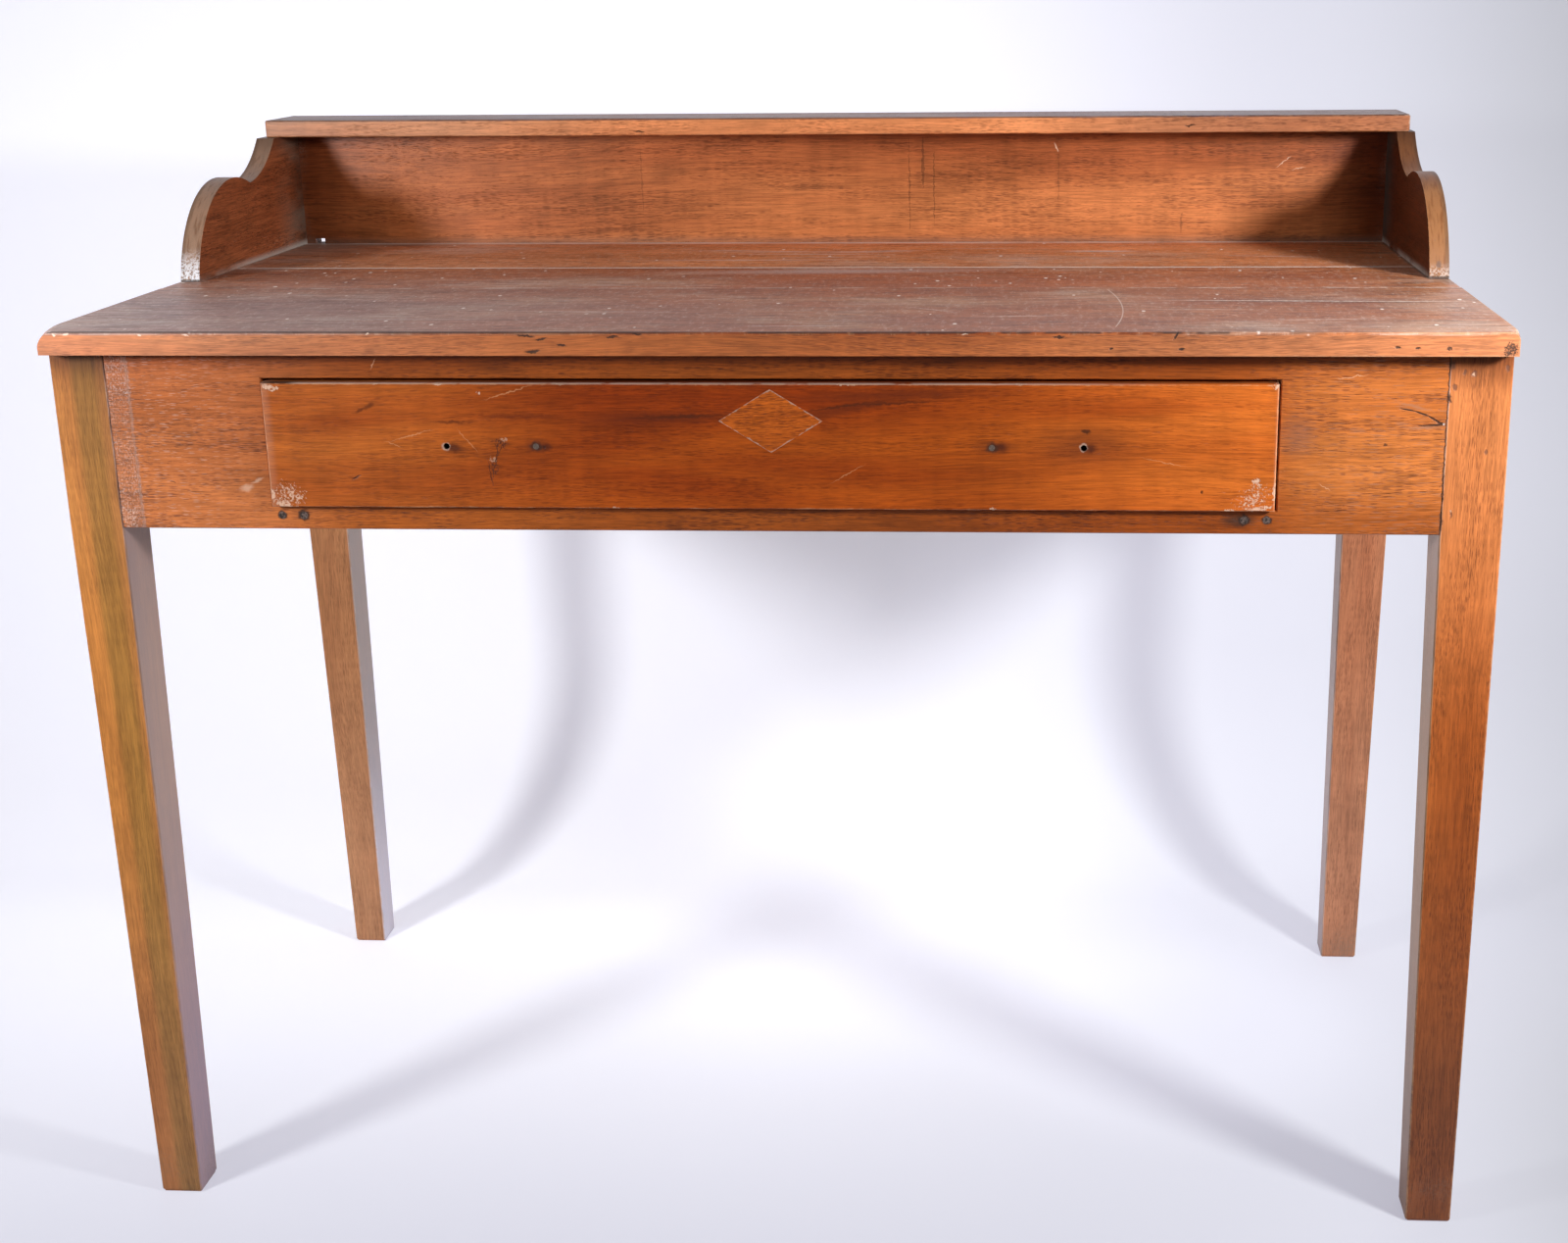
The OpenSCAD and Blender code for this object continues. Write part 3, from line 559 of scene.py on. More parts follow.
bm = solid_of("apron_front")
finish = Finish(
    "apron_varnish", ((0.43, 0.131, 0.029), (0.33, 0.089, 0.017), (0.14, 0.030, 0.006)),
    seed=7.3, tilt=0.004, streaks=0.28, ripple=0.3, pores=0.85, dull=0.40,
)
# Painted shade: the middle of the apron, furthest from the lamps, is darkened and deepened.
shaded_middle = finish.meet(X=(-0.42, -0.30, 0.44, 0.34))
finish.shade(shaded_middle, (0.80, 0.66, 0.40))
# Painted shade: the band just under the top's overhang, and the rail under the proud drawer.
finish.shade(finish.along("Z", 0.712, 0.742), (0.62, 0.50, 0.40))
shaded_under_drawer = finish.meet(Z=(0.64, 0.603), X=(-0.30, 0.30))
finish.shade(shaded_under_drawer, (0.78, 0.70, 0.62))
finish.shade(finish.along("X", -0.30, -0.42), (0.90, 0.91, 1.20))
flecks = finish.meet(finish.strokes(0.30, 1400.0, 105.0), X=(-0.36, -0.48))
finish.stain(flecks, (0.55, 0.40, 0.35), 0.42, dull=0.65)
dark_specks = finish.meet(finish.strokes(0.42, 700.0, 220.0), X=(-0.462, -0.500))
finish.stain(dark_specks, (0.12, 0.045, 0.025), 0.5)

band = finish.meet(X=(-0.4935, -0.4965), Z=(0.790, 0.690))
hatch = cloud(finish.tree, finish.place, 1.0, (820, 820, 430), 3.0, 0.7)
grey_hatch = finish.meet(fade(finish.tree, hatch, 0.50, 0.60), band, finish.blotches(0.35, 0.55))
finish.stain(grey_hatch, (0.42, 0.33, 0.31), 0.62, dull=0.8, lower=0.15)
dark_hatch = finish.meet(fade(finish.tree, hatch, 0.48, 0.40), band)
finish.stain(dark_hatch, (0.15, 0.085, 0.06), 0.7, dull=0.8)
finish.stain(finish.line("X", -0.4968, 1.6 * MM), (0.26, 0.17, 0.14), 0.35, dull=0.7)
pale_corner = finish.meet(X=(-0.488, -0.504), Z=(0.665, 0.610))
finish.stain(finish.flaked(pale_corner, 800.0, 0.50), (0.52, 0.38, 0.32), 0.6, dull=0.8)

grey_strokes = finish.meet(finish.strokes(0.34, 1100.0, 60.0), X=(0.36, 0.46))
finish.stain(grey_strokes, (0.24, 0.13, 0.09), 0.5)
cracks = [
    (480.9, 699.1, 12, 1.1, -10), (491.0, 696.3, 12, 1.3, -20), (500.5, 691.8, 12, 1.4, -30),
    (505.3, 688.8, 6, 2.0, -20), (501.5, 687.6, 15, 1.6, 3), (494.0, 687.2, 12, 1.0),
]
finish.spots(
    cracks, front_level, (0.030, 0.014, 0.009), 0.92, soft=0.35, ragged=False, dull=0.8, lower=0.5,
)
beside_cracks = [(486, 701.5, 22, 2.4, -14), (492, 685.5, 22, 2.0)]
finish.spots(beside_cracks, front_level, (0.30, 0.14, 0.08), 0.6, soft=0.8)
finish.spots([(507.8, 688.4, 1.6, 1.6)], front_level, (0.75, 0.60, 0.52), 0.8, ragged=False)
finish.spots([(400, 679, 22, 26)], front_level, (0.22, 0.085, 0.045), 0.6, soft=0.8)
scratches = [(438, 724, 20, 0.8, 8), (421, 640, 9, 0.7, -30), (-303, 733, 8, 0.9, 60)]
finish.spots(scratches, front_level, (0.60, 0.34, 0.20), 0.6)
pale_rubs = [(-411.5, 635.3, 9, 5.0, 20), (-402, 641.3, 9, 2.6, 25)]
finish.spots(pale_rubs, front_level, (0.58, 0.37, 0.26), 0.55, soft=0.6, dull=0.7)
finish.spots([(357, 613.4, 24, 9.0, 2)], front_level, (0.045, 0.018, 0.010), 0.85, soft=0.55)
round_nails = [
    (-368, 613.5, 9.0, 8.6), (362, 613.5, 9.0, 8.6), (-385, 613.5, 7.6, 6.6), (379, 613.5, 7.4, 7.0),
]
finish.spots(round_nails, front_level, (0.022, 0.010, 0.006), 0.9, soft=0.25, dull=0.7)
finish.spots([(465, 672, 3, 2), (-470, 640, 4, 1.2)], front_level, (0.05, 0.02, 0.01), 0.8)
for seam_x, cover in zip(apron_ends, (0.4, 0.8)):
    finish.stain(finish.line("X", seam_x, 0.6 * MM), (0.050, 0.024, 0.015), cover, dull=0.8)
round_off(bm, corners_of(bm, at_front_corner), 1.0 * MM, "X", uneven=0.5 * MM, step=7 * MM, seed=3.1)
piece_from(bm, "front_apron", "apron_front", "desk", finish.varnish())

for place_name, along, seed in (("back", "X", 11.0), ("left", "Y", 12.4), ("right", "Y", 13.9)):
    node_name = "apron_" + place_name
    bm = solid_of(node_name)
    finish = Finish(
        place_name + "_apron_varnish", ((0.40, 0.15, 0.055), (0.29, 0.09, 0.03), (0.12, 0.035, 0.012)),
        along=along, seed=seed, tilt=0.006, streaks=0.5, fibres=0.45, pores=0.8, dull=0.5,
    )
    finish.stain(finish.dust(), (0.30, 0.20, 0.15), 0.25, dull=0.7)
    round_off(bm, corners_of(bm), 0.8 * MM, along, uneven=0.4 * MM, step=12 * MM, seed=seed)
    piece_from(bm, place_name + "_apron", node_name, "desk", finish.varnish())


# Runners, guides, kickers, stops and glue blocks.
# Plain strips of pale softwood inside the frame: the drawer runs on the runners, between the guides and
# under the kickers. They were never varnished, and are grey with dust and rubbed smooth.

inner_names = ("runner_left", "runner_right", "guide_left", "guide_right", "kicker_left", "kicker_right",
               "drawer_stops", "glue_blocks")
for i, node_name in enumerate(inner_names):
    bm = solid_of(node_name)
    finish = Finish(
        node_name + "_bare_wood", ((0.52, 0.36, 0.20), (0.42, 0.27, 0.14), (0.26, 0.15, 0.07)),
        along="Y", seed=20.0 + i * 1.7, streaks=0.4, fibres=0.5, pores=0.25, dull=0.75,
    )
    finish.stain(finish.dust(), (0.30, 0.26, 0.21), 0.5, dull=0.9)
    finish.stain(finish.rubbed(), (0.60, 0.44, 0.27), 0.4)
    round_off(bm, corners_of(bm), 0.6 * MM, "Y")
    piece_from(bm, node_name + "_strip", node_name, "desk", finish.varnish(coat=0.0))


# The nails.
# Old iron nails with flat heads, brown with rust.

iron = bpy.data.materials.new("rusty_iron")
iron.use_nodes = True
t = iron.node_tree
t.nodes.clear()
place = add(t, "TexCoord").outputs["Object"]
rust = fade(t, cloud(t, place, 520.0, (1, 1, 1), 4.0, 0.7), 0.42, 0.54)
pitted = cloud(t, place, 1500.0, (1, 1, 1), 3.0, 0.7)
bump = add(t, "Bump", {"Height": pitted, "Distance": 0.15 * MM})
shader = add(t, "BsdfPrincipled", {
    "Base Color": tint(t, rust, (0.110, 0.072, 0.060), (0.016, 0.009, 0.006)),
    "Roughness": fade(t, rust, 0.0, 1.0, 0.6, 0.9),
    "Metallic": fade(t, rust, 0.0, 1.0, 0.25, 0.0),
    "Normal": bump.outputs["Normal"],
})
add(t, "OutputMaterial", {"Surface": shader.outputs[0]})
for node_name in ("runner_nails", "shelf_nails", "drawer_nails"):
    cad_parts[node_name].material_slots[0].material = iron


# The top.
# Three boards joined edge to edge with dowels. The joints have opened a little and hold pale dust. The
# polish is dull and grey with wax and a partly painted sheen, worn golden at the right end, and the front
# edge is split and knocked.

top_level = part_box("top_board_front")[1].z
top_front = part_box("top_board_front")[0].y
top_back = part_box("top_board_rear")[1].y
end_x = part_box("top_board_front")[1].x
top_woods = (
    ("front", 30.1, ((0.39, 0.137, 0.050), (0.30, 0.092, 0.031), (0.12, 0.034, 0.014))),
    ("middle", 33.7, ((0.44, 0.142, 0.048), (0.34, 0.096, 0.030), (0.13, 0.034, 0.014))),
    ("rear", 38.2, ((0.74, 0.295, 0.134), (0.60, 0.222, 0.094), (0.16, 0.045, 0.018))),
)
for place_name, seed, wood in top_woods:
    node_name = "top_board_" + place_name
    bm = solid_of(node_name)
    low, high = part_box(node_name)
    finish = Finish(
        place_name + "_top_polish", wood,
        seed=seed, tilt=0.005, streaks=0.34, fibres=0.34, pores=0.50, dull=0.44,
    )
    upper = finish.along("Z", top_level - 3 * MM, top_level - MM)
    golden = finish.meet(upper, X=(0.45, 0.52))
    finish.stain(golden, (0.50, 0.20, 0.075), 0.55)
    for near_end in (finish.along("X", -0.43, -0.51), finish.along("X", 0.45, 0.51)):
        end_checks = finish.meet(finish.strokes(0.46, 260.0, 22.0), near_end, upper)
        finish.stain(end_checks, (0.05, 0.022, 0.014), 0.7, lower=0.2)

    # Wax and haze, in drifts that the duster has brushed out along the boards. The haze is partly painted
    # sheen.
    drift = cloud(finish.tree, finish.place, 1.0, (5, 10, 10), 5.0, 0.58)
    brushed = cloud(finish.tree, finish.place, 1.0, (16, 240, 240), 4.0, 0.75)
    wax_and_sheen = fade(finish.tree, reckon(finish.tree, "MULTIPLY_ADD", brushed, 0.25, drift), 0.60, 0.78)
    wax_and_sheen = finish.meet(wax_and_sheen, upper)
    finish.stain(wax_and_sheen, (0.56, 0.40, 0.33), 0.46, dull=0.60)
    uneven_polish = finish.meet(finish.patches(0.47, 0.60, 1.0, (4, 11, 11), 5.0, 0.6), upper)
    finish.shade(uneven_polish, (0.90, 0.85, 0.82))
    finish.shade(finish.meet(upper, X=(-0.35, -0.05)), (1.03, 0.96, 0.84))
    warm_middle = finish.meet(upper, X=(-0.40, -0.15, 0.35, 0.15), Y=(0.12, 0.02))
    finish.shade(warm_middle, (0.97, 0.86, 0.70))
    grey_left = finish.meet(upper, X=(0.10, -0.45), Y=(0.05, -0.2))
    finish.stain(grey_left, (0.36, 0.31, 0.33), 0.32, dull=0.55)
    mottle = finish.meet(finish.patches(0.50, 0.68, 1.0, (240, 80, 80), 3.0, 0.8), upper)
    finish.stain(mottle, (0.84, 0.72, 0.62), 0.22)
    thin_lines = finish.meet(finish.patches(0.50, 0.62, 1.0, (34, 190, 190), 4.0, 0.85), upper)
    finish.shade(thin_lines, (0.50, 0.38, 0.32), 0.9)
    wax_strokes = finish.meet(finish.strokes(0.42, 620.0, 13.0), wax_and_sheen)
    finish.stain(wax_strokes, (0.74, 0.64, 0.60), 0.55, dull=0.7)
    crowded = finish.patches(0.46, 0.52, 31.0, detail=1.0)
    specks = finish.meet(finish.strokes(0.13, 38.0, 75.0), upper, crowded)
    finish.stain(specks, (0.98, 0.90, 0.84), 0.9, dull=0.8)

    # Pale dust in the two joints, thickest in the rear one.
    joint_levels = [y for y in (low.y, high.y) if abs(y - top_front) > MM and abs(y - top_back) > MM]
    for y in joint_levels:
        at_rear = y > 0
        reach = (3.0 if at_rear else 2.2) * MM
        inward = y + (reach if y == low.y else -reach)
        line = finish.meet(upper, Y=(inward, (inward + y) / 2))
        gaps = (0.28, 0.44) if at_rear else (0.46, 0.58)
        dusty = finish.meet(line, finish.patches(*gaps, 1.0, (45, 200, 200), 4.0, 0.7))
        finish.stain(dusty, (0.88, 0.78, 0.70), 0.9 if at_rear else 0.6, dull=0.85)
    # Beside the left gallery side lies grey dust; beside the right one, a painted shadow.
    for side, grime in ((-1, (0.32, 0.27, 0.24)), (1, (0.07, 0.05, 0.04))):
        ends = (side * 0.5350, side * 0.5390)
        dust_and_shadow_beside = finish.meet(upper, finish.blotches(0.30, 0.50), X=ends, Y=(-0.02, 0.004))
        finish.stain(dust_and_shadow_beside, grime, 0.7, dull=0.8)
    # Painted shadow: a dark spot where each gallery side stands on the top.
    scroll_foot_shadows = [(-548, -16.5, 20, 5), (548, -4.5, 20, 5)]
    finish.spots(scroll_foot_shadows, top_level, (0.025, 0.015, 0.012), 0.8, flat=True, soft=0.5)

    if place_name == "front":
        edge = finish.along("Y", top_front + 2.0 * MM, top_front + 0.5 * MM)
        finish.shade(edge, (1.24, 1.24, 1.24), dull=0.5)
        middle_edge = finish.meet(edge, X=(-0.42, -0.10, 0.42, 0.10))
        finish.shade(middle_edge, (0.87, 0.69, 0.45))
        finish.shade(finish.meet(edge, finish.strokes(0.40, 1150.0, 70.0)), (0.66, 0.56, 0.50), 0.55)
        splits = [
            (-179.5, 756.9, 12, 1.6, -6), (-167.7, 754.7, 9, 1.4, 10), (-175, 745.1, 10, 2.0, 4),
            (-152.4, 750.3, 8, 1.2, -12), (-113.5, 756.2, 10, 1.4, 3), (-94.9, 758.4, 7, 1.3),
            (219.4, 756.3, 9, 1.3, 6), (305.8, 757.1, 6, 1.8, 60), (309.7, 747.6, 5, 2.2),
            (258.5, 747.6, 3, 1.5), (468.3, 748.5, 4, 1.6), (482.6, 748.5, 4, 1.6),
        ]
        finish.spots(
            splits, top_front, (0.03, 0.012, 0.006), 0.9, soft=0.35, thick=8.0, dull=0.8, lower=0.6,
        )
        knot_rows = [(505.5, 748, 6, 5), (550.0, 748, 14, 14), (548, 744, 8, 5, 30)]
        knots = finish.marks(knot_rows, top_front, soft=0.7, thick=8.0)
        finish.stain(finish.flaked(knots, 700.0, 0.60), (0.035, 0.014, 0.009), 0.9, lower=0.3)
        long_split = [(425, -134.5, 232, 2.8, -2.4)]
        finish.spots(long_split, top_level, (0.86, 0.78, 0.70), 0.8, flat=True, soft=0.35)
        checks = [
            (430, -139.0, 236, 2.2, -2.4), (520, -210, 50, 1.6, -2), (505, -238, 74, 1.8, -3),
            (525, -90, 40, 1.4), (-520, -150, 60, 1.6, 1), (-505, -205, 90, 1.6),
            (-530, -100, 40, 1.6, 1), (535, -262, 36, 2.0, 3),
        ]
        finish.spots(checks, top_level, (0.035, 0.015, 0.009), 0.75, flat=True, lower=0.3)
        scratches = [
            (193, -213, 78, 2.4, 5), (-60, -120, 60, 1.6, 20), (120, -180, 40, 1.6, -35),
            (-300, -230, 120, 2.0, 1), (330, -180, 90, 2.2, -1), (20, -262, 80, 2.4),
            (420, -230, 70, 2.2, 2), (-150, -190, 130, 2.2, -1),
        ]
        finish.spots(scratches, top_level, (0.78, 0.68, 0.62), 0.55, flat=True, soft=0.5)
        # One hair-thin scratch is curved. It is a short part of a wide ring.
        ring_middle = (-0.2855, -0.170, top_level)
        ring_radius = 0.556
        away = vector(finish.tree, "LENGTH", vector(finish.tree, "SUBTRACT", finish.place, ring_middle))
        away = reckon(finish.tree, "ABSOLUTE", reckon(finish.tree, "SUBTRACT", away, ring_radius))
        ring = fade(finish.tree, away, 0.7 * MM, 0.2 * MM)
        ring = finish.meet(ring, upper, Y=(-0.270, -0.260, -0.064, -0.074), X=(0.1, 0.2))
        finish.stain(ring, (0.80, 0.68, 0.60), 0.6)
    if place_name == "middle":
        smear = finish.marks([(20, 48, 240, 26, 3)], top_level, True, soft=0.8)
        finish.stain(finish.meet(smear, upper), (0.55, 0.46, 0.44), 0.5)
    if place_name == "rear":
        smears = finish.marks([
            (-60, 190, 110, 8, 1), (-20, 172, 130, 5, -1), (30, 188, 70, 9, 3), (-105, 200, 70, 6),
            (10, 150, 100, 4, 2), (62, 196, 50, 5, 4), (-70, 128, 160, 6, 1), (140, 215, 60, 5),
            (260, 190, 60, 14), (420, 150, 70, 4, -8),
        ], top_level, True, soft=0.8)
        smears = finish.meet(smears, fade(finish.tree, brushed, 0.36, 0.56))
        finish.stain(smears, (0.70, 0.60, 0.56), 0.75, dull=0.7)
        swept = finish.marks([(-520, 245, 100, 110), (-465, 258, 150, 30)], top_level, True, soft=0.9)
        finish.stain(finish.meet(swept, upper), (0.25, 0.20, 0.175), 0.65, dull=0.7)
        at_gallery = finish.meet(upper, finish.blotches(0.25, 0.50), Y=(0.252, 0.262))
        finish.stain(at_gallery, (0.80, 0.68, 0.62), 0.8, dull=0.8)

    worn = finish.corners(Vector((-end_x, top_front, low.z)), Vector((end_x, top_back, high.z)), 1.6 * MM)
    finish.stain(finish.meet(worn, X=(0.30, 0.45)), (0.58, 0.30, 0.16), 0.40, dull=0.6)
    if place_name == "front":
        # A dark line along the upper front arris: whole on the left, in patches further right, fading out
        # at the right end.
        dark_arris_line = finish.patches(0.42, 0.50, 26.0, detail=3.0, rough=0.6)
        dark_arris_line = finish.either(dark_arris_line, finish.along("X", 0.02, -0.10))
        dark_arris_line = finish.meet(
            dark_arris_line, X=(0.50, 0.30), Y=(top_front + 3.4 * MM, top_front + 2.4 * MM),
            Z=(top_level - 1.5 * MM, top_level - MM),
        )
        finish.stain(dark_arris_line, (0.030, 0.016, 0.012), 0.8, dull=0.7)
        pale_chips = [
            (-542, 757.5, 3, 1.6), (-533, 758.2, 5, 1.3), (-476, 757.2, 3, 1.5),
            (-440, 757.5, 5, 1.2, -8), (-300, 758.2, 3, 1.2), (150, 758.4, 5, 1.0),
        ]
        finish.spots(pale_chips, top_front, (0.78, 0.60, 0.48), 0.9, soft=0.5, thick=8.0)

    long_corners = corners_of(bm, lambda a, b: (
        abs(a.x - b.x) > 0.3 and min(abs(a.y - top_front), abs(a.y - top_back)) < MM / 10
    ))
    round_off(bm, long_corners, 1.2 * MM, "X", uneven=0.7 * MM, step=6 * MM, seed=seed)
    end_corners = corners_of(bm, lambda a, b: (
        abs(a.x - b.x) < MM / 10 and abs(abs(a.x) - end_x) < MM / 10 and (a - b).length > 60 * MM
    ))
    round_off(bm, end_corners, 0.9 * MM, "Y", uneven=0.6 * MM, step=8 * MM, seed=seed + 4)
    joint_corners = corners_of(bm, lambda a, b: (
        abs(a.x - b.x) > 0.3 and min(a.z, b.z) > top_level - MM / 10
        and min(abs(a.y - top_front), abs(a.y - top_back)) > 5 * MM
    ))
    round_off(bm, joint_corners, 0.5 * MM)
    polish = finish.varnish(coat=0.1, coat_dull=0.35, shine=0.5)
    piece_from(bm, place_name + "_top_board", node_name, "desk", polish)


# The dowels.
# Short beech pins, glued in the joints of the top and under the gallery, out of sight.

finish = Finish(
    "dowel_wood", ((0.60, 0.42, 0.24), (0.50, 0.33, 0.18), (0.32, 0.19, 0.10)),
    seed=41.0, fibres=0.4, pores=0.2, dull=0.7,
)
dowel_wood = finish.varnish(coat=0.0)
for node_name in ("top_dowels", "gallery_dowels"):
    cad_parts[node_name].material_slots[0].material = dowel_wood


# The gallery.
# Two scrolled sides, a back board let into them and a narrow shelf nailed on. Dirt has gathered in the
# corners that no duster reaches, and painted shade darkens the corners and the wood under the shelf. The
# front edges of the sides are olive and golden where hands rub them.

gallery_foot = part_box("gallery_back")[0].z
gallery_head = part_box("gallery_shelf")[0].z
back_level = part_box("gallery_back")[0].y
inner_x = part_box("gallery_side_right")[0].x
scrolls = {
    "left": {
        "wood": ((0.30, 0.090, 0.034), (0.20, 0.052, 0.018), (0.07, 0.018, 0.007)), "seed": 51.0,
        "inward": 1, "edge": (0.25, 0.165, 0.112), "grime": (0.17, 0.14, 0.11),
        "foot": (0.66, 0.66, 0.70), "foot_height": 30 * MM,
    },
    "right": {
        # The right side's wood is far darker than the left's: painted shade, as its inner face lies out
        # of the lamps' light.
        "wood": ((0.085, 0.018, 0.005), (0.055, 0.010, 0.003), (0.07, 0.018, 0.007)), "seed": 53.5,
        "inward": -1, "edge": (0.295, 0.130, 0.050), "grime": (0.04, 0.04, 0.035),
        "foot": (0.44, 0.33, 0.28), "foot_height": 14 * MM,
    },
}
for place_name, scroll in scrolls.items():
    node_name = "gallery_side_" + place_name
    bm = solid_of(node_name)
    low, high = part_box(node_name)
    finish = Finish(
        place_name + "_scroll_varnish", scroll["wood"], along="Y", seed=scroll["seed"],
        tilt=0.01, streaks=0.5, fibres=0.45, pores=0.7, dull=0.42,
    )
    inward = scroll["inward"]
    outer_x = low.x if place_name == "left" else high.x
    profile = add(finish.tree, "Attribute", attribute_name="profile").outputs["Fac"]
    finish.stain(profile, scroll["edge"], 0.78, dull=0.5)
    edge_streaks = finish.meet(profile, finish.patches(0.48, 0.66, 1.0, (420, 60, 25), 3.0, 0.6))
    finish.shade(edge_streaks, (0.62, 0.52, 0.44), 0.8)
    outer_rim = finish.meet(profile, X=(outer_x + inward * 5 * MM, outer_x + inward * MM))
    finish.stain(outer_rim, (0.10, 0.055, 0.030), 0.6)
    # The sides turn dark towards the back board.
    finish.stain(finish.along("Y", back_level - 0.05, back_level), (0.03, 0.012, 0.006), 0.7, dull=0.6)
    grime = finish.meet(finish.blotches(0.38, 0.56), Y=(back_level - 0.09, back_level - 0.005))
    finish.stain(grime, scroll["grime"], 0.55, dull=0.75)
    # Painted shade: the sides darken just under the shelf.
    finish.stain(finish.along("Z", gallery_head - 0.02, gallery_head), (0.05, 0.02, 0.01), 0.5)
    off_profile = fade(finish.tree, profile, 0.7, 0.3)
    at_foot = finish.along("Z", gallery_foot + 7 * MM, gallery_foot)
    grey = finish.meet(at_foot, finish.blotches(0.30, 0.50), off_profile)
    finish.stain(grey, (0.45, 0.40, 0.36), 0.8, dull=0.8)
    foot_height = scroll["foot_height"]
    whitish = finish.meet(
        profile, finish.patches(0.42, 0.52, 560.0, detail=4.0, rough=0.7),
        Z=(gallery_foot + foot_height, gallery_foot + foot_height / 5),
    )
    finish.stain(whitish, scroll["foot"], 0.85, dull=0.85, lower=0.2)
    # Painted shadow: a dark line where the side stands on the top.
    contact_shadow_line = finish.meet(profile, Z=(gallery_foot + 2.2 * MM, gallery_foot + 1.0 * MM))
    finish.stain(contact_shadow_line, (0.03, 0.02, 0.018), 0.8)
    if place_name == "right":
        # Painted shade: the right side's front edge darkens where the shelf shades it.
        finish.shade(finish.meet(profile, Z=(0.828, 0.842)), (0.62, 0.52, 0.45))
        nail_spots = [(547.5, 771.5, 5, 5), (544.0, 791.0, 2.4, 2.4)]
        finish.spots(nail_spots, low.y, (0.12, 0.075, 0.060), 0.8, soft=0.5, thick=12.0, dull=0.7)
    finish.stain(finish.rubbed(), (0.45, 0.25, 0.13), 0.4, dull=0.55)
    rim = corners_of(bm, lambda a, b: (
        abs(a.x - b.x) < MM / 10 and min(abs(a.x - low.x), abs(a.x - high.x)) < MM / 10
        and a.z > gallery_foot + MM / 10 and (a.z < gallery_head - MM or b.z < gallery_head - MM)
        and max(a.y, b.y) < high.y - 22 * MM
    ))
    round_off(bm, rim, 1.2 * MM)
    bm.normal_update()
    profile_layer = bm.faces.layers.float.new("profile")
    for face in bm.faces:
        face[profile_layer] = min(1.0, 1.6 * (1 - abs(face.normal.x)))
    piece_from(bm, place_name + "_gallery_side", node_name, "desk", finish.varnish())

bm = solid_of("gallery_back")
finish = Finish(
    "gallery_back_varnish", ((0.43, 0.142, 0.046), (0.32, 0.092, 0.028), (0.14, 0.034, 0.010)),
    seed=57.1, tilt=0.003, streaks=0.38, ripple=0.4, pores=0.70, dull=0.42,
)
for side, shadow in ((-1, (0.45, 0.36, 0.32)), (1, (0.28, 0.16, 0.10))):
    finish.shade(finish.along("X", side * (inner_x - 0.09), side * inner_x), shadow)
    dusty_corner = finish.meet(finish.dust(), X=(side * (inner_x - 0.012), side * inner_x))
    finish.stain(dusty_corner, (0.30, 0.26, 0.22), 0.7, dull=0.8)
finish.stain(finish.along("Z", gallery_foot + 9 * MM, gallery_foot), (0.12, 0.07, 0.05), 0.5, dull=0.7)
# Painted shade: the board darkens upwards, under the shelf.
finish.shade(finish.along("Z", 0.795, 0.850), (0.84, 0.76, 0.72))
drip_rows = [(73.3, 815, 1.4, 104), (86.9, 835, 3.6, 60), (97.6, 815, 1.4, 104)]
drips = finish.marks(drip_rows, back_level, soft=0.6)
finish.stain(finish.flaked(drips, 90.0, 0.75), (0.04, 0.014, 0.006), 0.5)
faint_rows = [(-194.2, 820, 1.6, 80), (220.6, 822, 1.4, 70), (341.9, 778, 2.2, 24)]
faint_drips = finish.marks(faint_rows, back_level, soft=0.6)
finish.stain(finish.flaked(faint_drips, 90.0, 0.70), (0.05, 0.016, 0.007), 0.35)
finish.spots([(-22, 815, 56, 4)], back_level, (0.10, 0.03, 0.01), 0.5, soft=0.8)
scratches = [(218.3, 852, 9, 1.8, -70), (440, 837, 16, 0.8, 40), (455, 830.5, 12, 0.8, 10)]
finish.spots(scratches, back_level, (0.62, 0.42, 0.30), 0.7)
piece_from(bm, "gallery_back_board", "gallery_back", "desk", finish.varnish())

bm = solid_of("gallery_shelf")
low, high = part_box("gallery_shelf")
finish = Finish(
    "shelf_varnish", ((0.46, 0.182, 0.085), (0.34, 0.118, 0.051), (0.14, 0.04, 0.016)),
    seed=61.3, tilt=0.004, fibres=0.28, pores=0.7, dull=0.45,
)
rubbed_middle = finish.meet(X=(-0.40, -0.15, 0.40, 0.15))
finish.shade(rubbed_middle, (1.55, 1.50, 1.25))
finish.shade(finish.along("X", 0.30, 0.50), (0.80, 0.72, 0.60))
finish.shade(finish.along("X", -0.20, -0.40), (1.25, 1.42, 1.48))
shelf_upper = finish.along("Z", high.z - 2 * MM, high.z - MM)
finish.stain(finish.meet(finish.dust(), shelf_upper), (0.42, 0.34, 0.33), 0.45, dull=0.62)
# The upper face is darkened and turned bluish grey: a painted tone of its grazing sheen.
finish.shade(shelf_upper, (0.38, 0.43, 0.66))
splits = [(-184, 873, 10, 1.2), (345, 875.8, 9, 1.2, 4)]
finish.spots(splits, low.y, (0.03, 0.012, 0.006), 0.9, thick=6.0, lower=0.5)
worn = finish.corners(low, high, 1.6 * MM)
finish.stain(worn, (0.30, 0.15, 0.08), 0.5, dull=0.6)
finish.stain(finish.meet(worn, X=(0.53, 0.551)), (0.62, 0.42, 0.30), 0.8)
round_off(bm, corners_of(bm), 1.3 * MM, "X", uneven=0.7 * MM, step=7 * MM, seed=5.5)
piece_from(bm, "gallery_shelf_board", "gallery_shelf", "desk", finish.varnish(coat=0.1))


# The drawer.
# The front is one board of close, satiny wood, chipped at its corners, with two of the four screw holes
# of its lost pulls filled. The sides are dovetailed to it, and a thin bottom lies in grooves.

